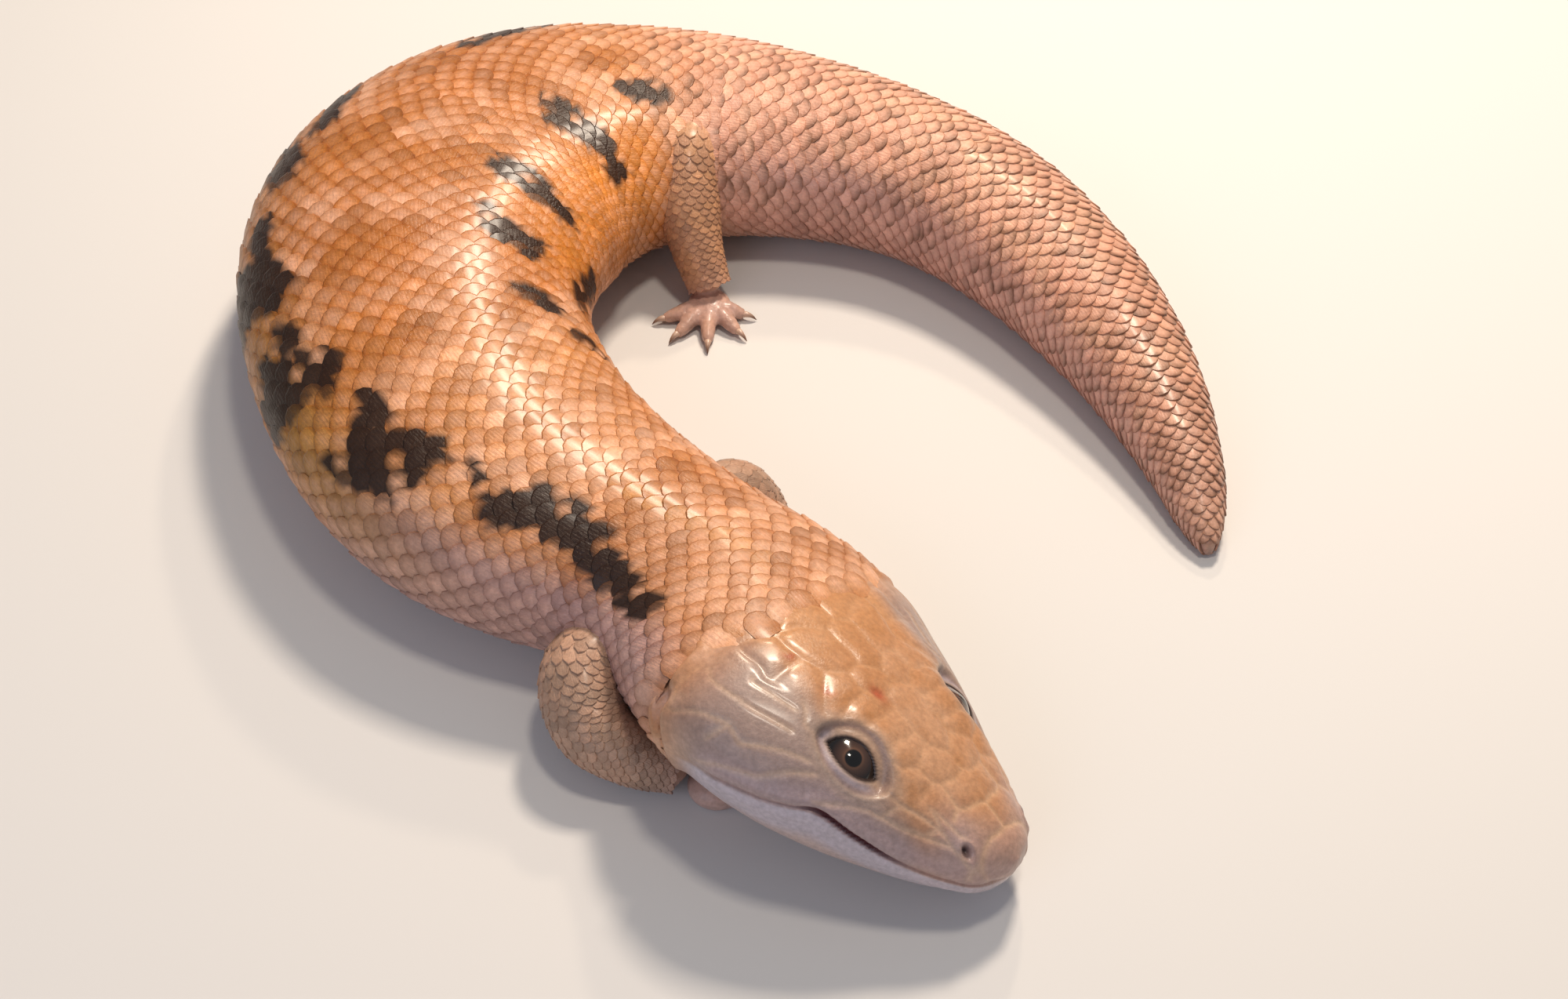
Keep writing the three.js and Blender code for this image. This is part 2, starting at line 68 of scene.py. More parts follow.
# Tables by station: the way the spine runs in degrees, then the section's half width,
# top and underside, its roll in degrees, and how far it sits to the right of the spine.
HEADING = (
    (0, 136), (40, 136), (68, 131.7), (101, 146), (135, 128), (168, 102), (202, 69.9),
    (235, 29.6), (274, -4.2), (312, -24.5), (350, -50.9), (389, -67.5), (418, -78.7), (434, -84),
)
HALF_WIDTH = (
    (0, 1.4), (2, 7), (5, 10.2), (11, 14.4), (18, 18.4), (25, 22.4), (36, 27.4), (48, 30),
    (58, 29.4), (68, 26.2), (80, 23), (92, 23.8), (110, 28.2), (130, 31.8), (159, 34),
    (197, 38.6), (222, 38), (240, 34.4), (255, 30.2), (280, 24.8), (312, 19.6), (346, 17.2),
    (374, 14.2), (398, 10.6), (415, 7.4), (427, 4.6), (433, 1.9), (434, 1),
)
TOP = (
    (0, 13.4), (2, 16.2), (6, 19.4), (14, 24.2), (25, 29.6), (36, 33), (50, 34.8), (66, 34.6),
    (85, 34), (110, 37), (140, 41), (175, 44), (205, 44), (235, 41), (262, 37), (290, 34),
    (320, 31), (350, 27), (380, 22.5), (400, 18), (418, 13), (428, 8.4), (434, 4.4),
)
BOTTOM = (
    (0, 9.6), (2, 6.2), (5, 4.8), (12, 3.4), (25, 2.2), (40, 1.8), (55, 1.6), (68, 0.4),
    (80, -0.6), (424, -0.5), (434, 0.8),
)
ROLL = ((0, 23), (44, 23), (60, 17), (78, 5), (94, 0), (434, 0))
SWAY = (
    (0, 0), (10, 1.4), (25, 2.2), (40, 1.8), (50, 0.8), (60, -0.4), (70, -0.8), (84, 0),
    (100, 0.8), (120, 1.5), (140, 1.2), (165, 0.2), (200, 0), (222, -0.6), (245, -0.4),
    (270, 0), (434, 0),
)
# How square the section is, above and below its middle: 2 is an ellipse.
UPPER_POWER = 2.08
LOWER_POWER = 2.2


class Side(Enum):
    """The animal's own sides, with the sign that the tables give them."""

    RIGHT = 1
    LEFT = -1


def linear(code: str) -> Array:
    """Turns an sRGB hex colour to linear values.

    Args:
        code: Six hex digits.

    Returns:
        Three linear values.
    """
    srgb = np.array([int(code[i : i + 2], 16) / 255 for i in (0, 2, 4)])
    return np.where(srgb <= 0.04045, srgb / 12.92, ((srgb + 0.055) / 1.055) ** 2.4)


def rgba(code: str) -> tuple[float, float, float, float]:
    """An sRGB hex colour as a socket's four linear values."""
    return (*(float(v) for v in linear(code)), 1.0)


def along(table: tuple, s: Array) -> Array:
    """Reads a table of (station, value) pairs as a smooth curve.

    Args:
        table: The pairs, in rising order.
        s: Stations to read at.

    Returns:
        The value at each station.
    """
    x = np.array([row[0] for row in table], float)
    y = np.array([row[1] for row in table], float)
    slope = np.empty_like(y)
    slope[1:-1] = (y[2:] - y[:-2]) / (x[2:] - x[:-2])
    slope[0] = (y[1] - y[0]) / (x[1] - x[0])
    slope[-1] = (y[-1] - y[-2]) / (x[-1] - x[-2])
    s = np.clip(np.asarray(s, float), x[0], x[-1])
    i = np.clip(np.searchsorted(x, s, side="right") - 1, 0, len(x) - 2)
    h = x[i + 1] - x[i]
    t = (s - x[i]) / h
    start = (2 * t**3 - 3 * t**2 + 1) * y[i] + (t**3 - 2 * t**2 + t) * h * slope[i]
    end = (3 * t**2 - 2 * t**3) * y[i + 1] + (t**3 - t**2) * h * slope[i + 1]
    return start + end


def ramp(low: float, high: float, x: Array) -> Array:
    """A smooth rise from 0 at low to 1 at high."""
    t = np.clip((np.asarray(x, float) - low) / (high - low), 0, 1)
    return t * t * (3 - 2 * t)


def bump(distance: Array, reach: float) -> Array:
    """A bell of height 1 that has faded at a few times its reach."""
    return np.exp(-((np.asarray(distance, float) / reach) ** 2))


def mix(a: Array, b: Array, share: Array) -> Array:
    """Blends colours a and b by a share of b for each point."""
    share = np.asarray(share, float)[..., None]
    return a * (1 - share) + b * share


def layered(colour: Array, *layers: tuple[str | Array, Array]) -> Array:
    """Lays colours over a colour, each given with its share for each point."""
    for top, share in layers:
        colour = mix(colour, linear(top) if isinstance(top, str) else top, share)
    return colour


def unit(vectors: Array) -> Array:
    """Vectors brought to length 1."""
    return vectors / np.maximum(np.linalg.norm(vectors, axis=-1, keepdims=True), 1e-9)


def runs_of(line: Array) -> Array:
    """How far each point of a line lies from its start, along the line."""
    return np.concatenate([[0], np.cumsum(np.linalg.norm(np.diff(line, axis=0), axis=1))])


class Mottle:
    """Seeded smooth noise over a plane, for markings that wander."""

    CELLS = 256

    def __init__(self, seed: int) -> None:
        """Draws the lattice of random values."""
        self.lattice = np.random.default_rng(seed).random((self.CELLS, self.CELLS))

    def once(self, x: Array, y: Array) -> Array:
        """Noise of one size, from 0 to 1."""
        xi, yi = np.floor(x).astype(int), np.floor(y).astype(int)
        fx, fy = ramp(0, 1, x - xi), ramp(0, 1, y - yi)
        a, c, b, d = (
            self.lattice[(xi + i) % self.CELLS, (yi + k) % self.CELLS] for i in (0, 1) for k in (0, 1)
        )
        return (a * (1 - fx) + b * fx) * (1 - fy) + (c * (1 - fx) + d * fx) * fy

    def at(self, x: Array, y: Array, size: float) -> Array:
        """Noise of three sizes together.

        Args:
            x: First coordinate in millimetres.
            y: Second coordinate in millimetres.
            size: Millimetres across the largest patches.

        Returns:
            Values from 0 to 1, most near a half.
        """
        total = np.zeros(np.broadcast(x, y).shape)
        for octave, weight in enumerate((0.55, 0.3, 0.15)):
            k = 2**octave / size
            shifted = np.asarray(x) * k + 31 * octave + 500
            total += weight * self.once(shifted, np.asarray(y) * k + 700)
        return total


def to_path(s: Array, q: Array, path: tuple) -> Array:
    """Distance in millimetres from points of the skin to a line drawn on it.

    Args:
        s: Stations of the points.
        q: Arc distances of the points from the midline of the back.
        path: The line's (station, arc) points.

    Returns:
        The distance of each point.
    """
    best = np.full(np.broadcast(s, q).shape, np.inf)
    for (x0, y0), (x1, y1) in zip(path[:-1], path[1:]):
        dx, dy = x1 - x0, y1 - y0
        run = max(dx * dx + dy * dy, 1e-9)
        t = np.clip(((s - x0) * dx + (q - y0) * dy) / run, 0, 1)
        best = np.minimum(best, np.hypot(s - x0 - t * dx, q - y0 - t * dy))
    return best


class BodyForm:
    """The body as one tube: sections along the spine, pressed flat on the floor.

    A point is named by its station and by q, its arc distance from the midline of the
    back, positive on the animal's right.
    """

    SPINE_STEP = 0.5
    SHARES = np.linspace(-1, 1, 257)
    RING_POINTS = 721

    def __init__(self) -> None:
        """Lays out the spine and measures the girth at each station."""
        s = np.arange(0, LENGTH + 0.01, self.SPINE_STEP)
        turn = np.radians(along(HEADING, s[:-1] + self.SPINE_STEP / 2))
        x, y = (
            SNOUT[i] + OFFSET[i] + np.concatenate([[0], np.cumsum(self.SPINE_STEP * part(turn))])
            for i, part in enumerate((np.cos, np.sin))
        )
        self.spine = (s, x, y)
        self.stations = np.concatenate([np.arange(0, 8, 0.25), np.arange(8, LENGTH + 0.01, 1.0)])
        self.angles = np.empty((len(self.stations), len(self.SHARES)))
        self.halves = np.empty((len(self.stations), 2))
        for i, station in enumerate(self.stations):
            self.angles[i], self.halves[i] = self.ring_angles(station, self.SHARES)

    def middle(self, s: Array) -> Array:
        """Height of the section's middle."""
        return (np.maximum(along(BOTTOM, s), 0) + along(TOP, s)) / 2

    def section(self, s: Array, angle: Array) -> tuple[Array, Array]:
        """A section's outline before the roll.

        Args:
            s: Stations.
            angle: Radians: 0 on the right flank and a quarter turn on the back.

        Returns:
            How far across to the right, and how far above the section's middle.
        """
        middle = self.middle(s)
        c, v = np.cos(angle), np.sin(angle)
        power = np.where(v > 0, 2 / UPPER_POWER, 2 / LOWER_POWER)
        reach = np.where(v > 0, along(TOP, s) - middle, middle - along(BOTTOM, s))
        across = along(HALF_WIDTH, s) * np.sign(c) * np.abs(c) ** power
        return across, reach * np.sign(v) * np.abs(v) ** power

    def in_section(self, s: Array, across: Array, rise: Array) -> Array:
        """Points given in the section's own axes, which turn with the roll."""
        roll, turn = np.radians(along(ROLL, s)), np.radians(along(HEADING, s))
        side = along(SWAY, s) + across * np.cos(roll) - rise * np.sin(roll)
        z = self.middle(s) + across * np.sin(roll) + rise * np.cos(roll)
        table, x, y = self.spine
        x, y = np.interp(s, table, x), np.interp(s, table, y)
        x, y = x - np.sin(turn) * side, y + np.cos(turn) * side
        return np.stack(np.broadcast_arrays(x, y, z), -1)

    def point(self, s: Array, angle: Array) -> Array:
        """Points of the surface, in millimetres, before they are pressed on the floor."""
        return self.in_section(s, *self.section(s, angle))

    def normal(self, s: Array, angle: Array) -> Array:
        """Outward unit normals of the surface."""
        ds, da = 0.4, 0.02
        low, high = np.clip(s - ds, 0, LENGTH), np.clip(s + ds, 0, LENGTH)
        run = self.point(high, angle) - self.point(low, angle)
        turn = self.point(s, angle + da) - self.point(s, angle - da)
        return unit(np.cross(turn, run))

    def ring_angles(self, station: float, shares: Array) -> tuple[Array, Array]:
        """Angles at even shares of the girth.

        Args:
            station: Where the ring is.
            shares: From -1, the belly on the left side, to 1, the belly on the right.

        Returns:
            The angle at each share, and the two half girths, right then left.
        """
        angle = np.linspace(1.5 * math.pi, -0.5 * math.pi, self.RING_POINTS)
        ring = self.point(np.full(self.RING_POINTS, station), angle)
        ring[:, 2] = np.maximum(ring[:, 2], 0)
        arc = runs_of(ring)
        left = arc[self.RING_POINTS // 2]
        right = arc[-1] - left
        share = np.where(arc < left, (arc - left) / left, (arc - left) / right)
        return np.interp(shares, share, angle), np.array([right, left])

    def half(self, s: Array, q: Array) -> Array:
        """Half the girth at a station, on the side that q lies on."""
        right, left = (np.interp(s, self.stations, self.halves[:, i]) for i in (0, 1))
        return np.where(np.asarray(q) >= 0, right, left)

    def angle(self, s: Array, q: Array) -> Array:
        """The angle of a point given by station and arc."""
        share = q / self.half(s, q)
        share = np.where(share > 1, share - 2, np.where(share < -1, share + 2, share))
        row = np.interp(s, self.stations, np.arange(len(self.stations)))
        i = np.clip(row.astype(int), 0, len(self.stations) - 2)
        column = (share + 1) * (len(self.SHARES) - 1) / 2
        k = np.clip(column.astype(int), 0, len(self.SHARES) - 2)
        f, g = row - i, column - k
        near, far = (self.angles[j, k] * (1 - g) + self.angles[j, k + 1] * g for j in (i, i + 1))
        return near * (1 - f) + far * f

    def place(self, s: Array, q: Array, lift: Array) -> Array:
        """Points over the surface.

        Args:
            s: Stations.
            q: Arc distances from the midline of the back.
            lift: Millimetres above the surface.

        Returns:
            The points, in millimetres.
        """
        s = np.clip(s, 0.2, LENGTH - 0.3)
        angle = self.angle(s, q)
        return self.point(s, angle) + self.normal(s, angle) * np.asarray(lift)[..., None]

    def stretch(self, s: Array, q: Array) -> Array:
        """How long a millimetre of station is on the surface: more outside a bend."""
        a, b = (self.place(s + d, q, np.zeros_like(s)) for d in (-1, 1))
        return np.linalg.norm(b - a, axis=-1) / 2


class TubeForm:
    """A limb as a tube on a smooth path, named by distance from its root and by arc."""

    SPAN_POINTS = 60
    WAY_REACH = 0.8

    def __init__(self, path: tuple, radii: tuple) -> None:
        """Measures the path.

        Args:
            path: Points inside the limb, from within the body to the wrist or ankle.
            radii: The limb's radius at each point.
        """
        knots = np.array(path, float) + np.array([*OFFSET, 0])
        ends = np.vstack([2 * knots[0] - knots[1], knots, 2 * knots[-1] - knots[-2]])
        pieces = []
        for p0, p1, p2, p3 in zip(ends[:-3], ends[1:-2], ends[2:-1], ends[3:]):
            pairs = ((p0, p1), (p1, p2), (p2, p3))
            d0, d1, d2 = (math.sqrt(np.linalg.norm(b - a)) for a, b in pairs)
            t1 = ((p1 - p0) / d0 - (p2 - p0) / (d0 + d1) + (p2 - p1) / d1) * d1
            t2 = ((p2 - p1) / d1 - (p3 - p1) / (d1 + d2) + (p3 - p2) / d2) * d1
            t = np.linspace(0, 1, self.SPAN_POINTS, endpoint=False)[:, None]
            cubic = (2 * p1 - 2 * p2 + t1 + t2) * t**3 + (3 * p2 - 3 * p1 - 2 * t1 - t2) * t**2
            pieces.append(p1 + t1 * t + cubic)
        self.line = np.vstack([*pieces, knots[-1:]])
        self.runs = runs_of(self.line)
        self.length = float(self.runs[-1])
        share = np.linspace(0, self.length, len(radii))
        self.table = tuple(zip(share.tolist(), radii))

    def radius(self, s: Array) -> Array:
        """The limb's radius at a distance from its root."""
        return along(self.table, s)

    def on_line(self, s: Array) -> Array:
        """Points on the middle line, and its ends past them."""
        s = np.clip(s, 0, self.length)
        return np.stack([np.interp(s, self.runs, self.line[:, i]) for i in range(3)], -1)

    def centre(self, s: Array) -> Array:
        """Points on the limb's middle line, straight on past its ends."""
        past = np.asarray(s) - np.clip(s, 0, self.length)
        return self.on_line(s) + past[..., None] * self.way(s)

    def way(self, s: Array) -> Array:
        """The direction of the middle line."""
        s = np.clip(s, 0, self.length)
        return unit(self.on_line(s + self.WAY_REACH) - self.on_line(s - self.WAY_REACH))

    def half(self, s: Array, q: Array) -> Array:
        """Half the girth."""
        return math.pi * self.radius(s) + 0 * np.asarray(q)

    def place(self, s: Array, q: Array, lift: Array) -> Array:
        """Points over the limb, with q counted from its upper side."""
        way = self.way(s)
        across = unit(np.cross(np.array([0, 0, 1.0]), way))
        rise = np.cross(way, across)
        radius = self.radius(s)
        turn = q / radius
        out = across * np.sin(turn)[..., None] + rise * np.cos(turn)[..., None]
        return self.centre(s) + out * (radius + lift)[..., None]

    def stretch(self, s: Array, q: Array) -> Array:
        """A limb's scales keep their length round its bends."""
        return np.ones(np.broadcast(s, q).shape)


# The head's features, on (station, arc) with the arc taken as positive on both sides.
SEAMS = (
    ((45, 39.2), (42, 36.5), (35, 32), (31, 26.5), (28, 23.4)),
    ((53, 34.8), (48, 31.5), (43, 29.3), (40, 30.1), (34, 25.5), (30, 23)),
    ((50, 26.4), (47, 26.2), (42, 25), (35, 22.3)),
    ((53, 24.1), (50, 26.4)),
    ((53, 24.1), (50, 21.7), (47, 19)),
    ((47, 19), (45, 21.9), (42, 20.9), (37, 19.4)),
    ((42, 14.4), (39, 16.1), (36, 18), (34, 19.8)),
    ((43, 29.3), (45, 33.9)),
    ((53, 34.8), (54, 30), (53, 24.1)),
    ((13, 10.3), (9, 11), (7, 11), (3, 10.2)),
    ((13, 10.3), (7, 8.6), (2, 3.5)),
    ((2, 3.5), (2, 6.9), (3, 10.7), (3, 14)),
    ((2, 3.5), (2, -0.4), (2, -4)),
    ((20, 15.5), (16, 14.4), (12, 12.2), (9, 11)),
    ((26, 26.8), (22, 22.3), (19, 19.5), (14, 16.6), (11, 14.3), (7, 11)),
    ((16, 14.4), (17, 18)),
    ((10, 11), (10.6, 14)),
    ((34, 19.8), (32, 19.2), (30, 17.5), (27, 13.0), (24, 11.6), (20, 12.2), (17, 13.6)),
)
# Shields of the crown: each seam runs half way between two strokes.
SHIELDS = (
    (0.8, 0, 1.4, 3), (6.4, 2.6, 7, 6.2), (11.6, 0, 11.6, 3.4), (16, 2.6, 18, 5),
    (21, 0, 29, 0), (20.5, 6.4, 21, 8.4), (25, 6.8, 25.4, 9.6), (29.8, 7, 30, 9.6),
    (33.4, 2.6, 34, 4.2), (37.5, 0, 41.5, 0), (40, 5.4, 46.5, 9), (34.4, 9.2, 35, 12),
    (12, 8.6, 12.6, 10), (16.8, 10.4, 17.4, 12.2), (37.6, 14.5, 42, 15.5), (44.5, 15.5, 49, 16),
    (47.5, 21.5, 51, 22), (50.6, 4, 51.4, 8), (53, 11, 53.4, 15), (56.5, 3, 57, 8),
)
MOUTH_RISE = (
    (0, -2.2), (4, -1.9), (13, -1.3), (19, 0), (25, 1.6), (29, 0.2), (33, -1), (39, -2),
    (44, -3), (60, -6),
)
# Short seams of the lips: the side of the mouth, where they fade out, and their stations.
LIP_SEAMS = (
    (1, (3.6, 5.0), (8, 12.6, 17.4, 22, 27, 32, 37)),
    (-1, (4.2, 5.6), (6, 10.6, 15.6, 21, 27, 33.5, 40)),
)
# The last station of the head's shields, by arc.
SHIELDS_END = ((0, 51), (14, 52), (22, 54), (34, 58), (42, 56), (50, 50), (58, 46), (80, 46))
# Where the crown gives way to the cheeks.
CROWN_EDGE = ((0, 9), (8, 8), (14, 11), (20, 11.5), (30, 15), (36, 17), (44, 20), (60, 30))
# The brow, the jaw's muscle and the hollow before the eye, each as its height, its
# station and reach along, and its arc and reach across.
SWELLINGS = ((0.9, 24, 7.5, 10.8, 3.4), (0.9, 47, 8, 29, 7), (-0.45, 15, 5, 17.5, 3))
# The line of the fold behind the jaw.
JAW_FOLD = ((57.5, 24), (57, 31.3), (55.5, 36), (53.4, 41), (52, 47))
# A distance past anything on the head.
FAR_OFF = 1e9
# The eyeball's radius and how deep it lies, then the slit's place, tilt and half sizes.
EYE = {"ball": 7.0, "deep": 0.3}
EYE_SLIT = {"s": 25.5, "q": 16.6, "tilt": 19.0, "long": 4.6, "above": 2.9, "below": 2.2}


class HeadForm:
    """What stands out from or sinks into the plain head: shields, lids, lips and pits.

    Every value is worked out once for the skin's vertices, and the colours use them too.
    """

    # Half the width of the groove in a seam.
    GROOVE = 0.34

    def __init__(self, s: Array, q: Array, rise: Array) -> None:
        """Measures each vertex from the features.

        Args:
            s: Stations of the vertices.
            q: Arc distances.
            rise: Height over the section's middle in the section's axes.
        """
        self.s, self.q, self.far = s, q, np.abs(q)
        self.crown_seam = self.shield_gap()
        self.cheek_seam = np.min([to_path(s, self.far, seam) for seam in SEAMS], axis=0)
        self.mouth = rise - along(MOUTH_RISE, s)
        self.in_mouth = 1 - ramp(41, 45, s)
        self.slit = self.slit_distance()
        self.nostril = np.hypot(s - 5.0, self.far - 9.2)
        self.ear = np.hypot((s - 55.2) / 1.3, (self.far - 33.5) / 3.2)

    def shield_gap(self) -> Array:
        """Distance to the nearest seam between two shields of the crown."""
        first = np.full(self.s.shape, FAR_OFF)
        second = first.copy()
        on_midline = np.zeros(self.s.shape, bool)
        for x0, y0, x1, y1 in SHIELDS:
            d = to_path(self.s, self.far, ((x0, y0), (x1, y1)))
            nearer = d < first
            second = np.where(nearer, first, np.minimum(second, d))
            first = np.where(nearer, d, first)
            on_midline = np.where(nearer, y0 == 0, on_midline)
        return np.minimum((second - first) / 2, np.where(on_midline, FAR_OFF, self.far))

    def slit_distance(self) -> Array:
        """Signed distance to the eye's slit, an almond between two arcs, negative inside."""
        tilt = math.radians(EYE_SLIT["tilt"])
        ds, dq = self.s - EYE_SLIT["s"], self.far - EYE_SLIT["q"]
        x = np.abs(ds * math.cos(tilt) + dq * math.sin(tilt))
        y = -ds * math.sin(tilt) + dq * math.cos(tilt)
        high, long = np.where(y < 0, EYE_SLIT["above"], EYE_SLIT["below"]), EYE_SLIT["long"]
        radius = (long**2 + high**2) / (2 * high)
        drop, y = radius - high, np.abs(y)
        arc, corner = np.hypot(x, y + drop) - radius, np.hypot(x - long, y)
        return np.where(x * drop < long * (y + drop), arc, corner)

    def lip_seams(self) -> Array:
        """Depth share of the short seams between the lip shields."""
        total = np.zeros(self.s.shape)
        for side, fade, stations in LIP_SEAMS:
            off = side * self.mouth
            share = ramp(0.4, 1.0, off) * (1 - ramp(*fade, off))
            for station in stations:
                seam = bump(self.s - station - 0.3 * off, self.GROOVE)
                total = np.maximum(total, share * seam)
        return total

    def parted(self) -> Array:
        """Half the gap between the lips: the right side's are a little apart."""
        return 0.02 + np.where(self.q > 0, 0.22, 0.05) * self.gaping()

    def gaping(self) -> Array:
        """1 along the part of the mouth where the lips don't meet, and 0 past its ends."""
        return ramp(10, 17, self.s) * (1 - ramp(24, 29, self.s))

    def crown_share(self) -> Array:
        """1 on the crown, where its shields show, and 0 on the cheeks."""
        past = self.far - along(CROWN_EDGE, self.s)
        return (1 - ramp(-0.8, 0.8, past)) * (1 - ramp(53, 57, self.s))

    def shields(self, share: Array, seam: Array, depth: float, run: float) -> Array:
        """Shields that dip towards their seams, with a fine groove in each seam.

        Args:
            share: Where the shields show.
            seam: Distance to the nearest seam.
            depth: How far they dip.
            run: How far from the seam the dip starts.

        Returns:
            The height, 0 in the middle of a shield.
        """
        return share * depth * (ramp(0, run, seam) - 1 - 0.6 * bump(seam, self.GROOVE))

    def relief(self) -> Array:
        """Height over the plain head along its normal, in millimetres."""
        s, far = self.s, self.far
        away = ramp(1.8, 3.4, self.slit)
        on_crown = self.crown_share()
        crown, cheek = on_crown * away, (1 - on_crown) * ramp(0.6, 1.6, self.mouth) * away
        height = self.shields(crown, self.crown_seam, depth=0.24, run=1.8)
        height += self.shields(cheek, self.cheek_seam, depth=0.11, run=0.8)
        for high, at, long, arc, wide in SWELLINGS:
            height += high * bump(s - at, long) * bump(far - arc, wide)
        height -= 0.1 * self.lip_seams() * self.in_mouth
        # The line of the mouth between two swollen lips, and the crease behind its corner.
        groove = 1 - ramp(0, 0.4, np.abs(self.mouth) - self.parted())
        deep = 0.28 + np.where(self.q > 0, 0.8, 0.3) * self.gaping()
        lips = bump(self.mouth - 1.4, 1.0) * 0.28 + bump(self.mouth + 1.9, 1.3) * 0.4
        height += self.in_mouth * (lips - deep * groove)
        corner = (1 - self.in_mouth) * ramp(40, 44, s)
        height += corner * -0.35 * bump(self.mouth, 0.8) * (1 - ramp(46, 49, s))
        # The nostril in its raised ring, the fold behind the jaw, and the ear in it.
        height -= 1.5 * bump(self.nostril, 0.72) - 0.28 * bump(self.nostril - 1.35, 0.5)
        fold = to_path(s, far, JAW_FOLD)
        height += 0.9 * bump(fold - 1.2, 1.6) * (s < 57)
        height -= 1.6 * bump(fold, 1.0)
        height -= 1.8 * bump(self.ear, 0.8)
        # The creases round the lids.
        under = ramp(15, 18.5, far)
        height -= 0.08 * bump(self.slit - 1.9, 0.4) + 0.12 * under * bump(self.slit - 3.3, 0.5)
        return height

    def socket(self, points: Array, balls: dict[Side, tuple[Array, Array]]) -> Array:
        """Draws the skin over each eyeball as lids, and under it inside the slit.

        Args:
            points: The vertices, in millimetres.
            balls: Each eyeball's middle and the way it faces.

        Returns:
            The moved vertices.
        """
        lid, floor = 0.45 * ramp(0, 0.9, self.slit), 1.3 * ramp(0, 0.7, -self.slit)
        over = 0.22 + np.where(self.slit > 0, lid, -floor)
        share = (1 - ramp(0.4, 3.0, self.slit)) * (self.s < 40)
        moved = points.copy()
        for side, (centre, facing) in balls.items():
            mine = (np.sign(self.q) == side.value) & (share > 0)
            out = points[mine] - centre
            ahead = out @ facing
            beside = np.linalg.norm(out - ahead[:, None] * facing, axis=1)
            wanted = np.sqrt(np.maximum((EYE["ball"] + over[mine]) ** 2 - beside**2, 1))
            moved[mine] += facing * ((wanted - ahead) * share[mine])[:, None]
        return moved


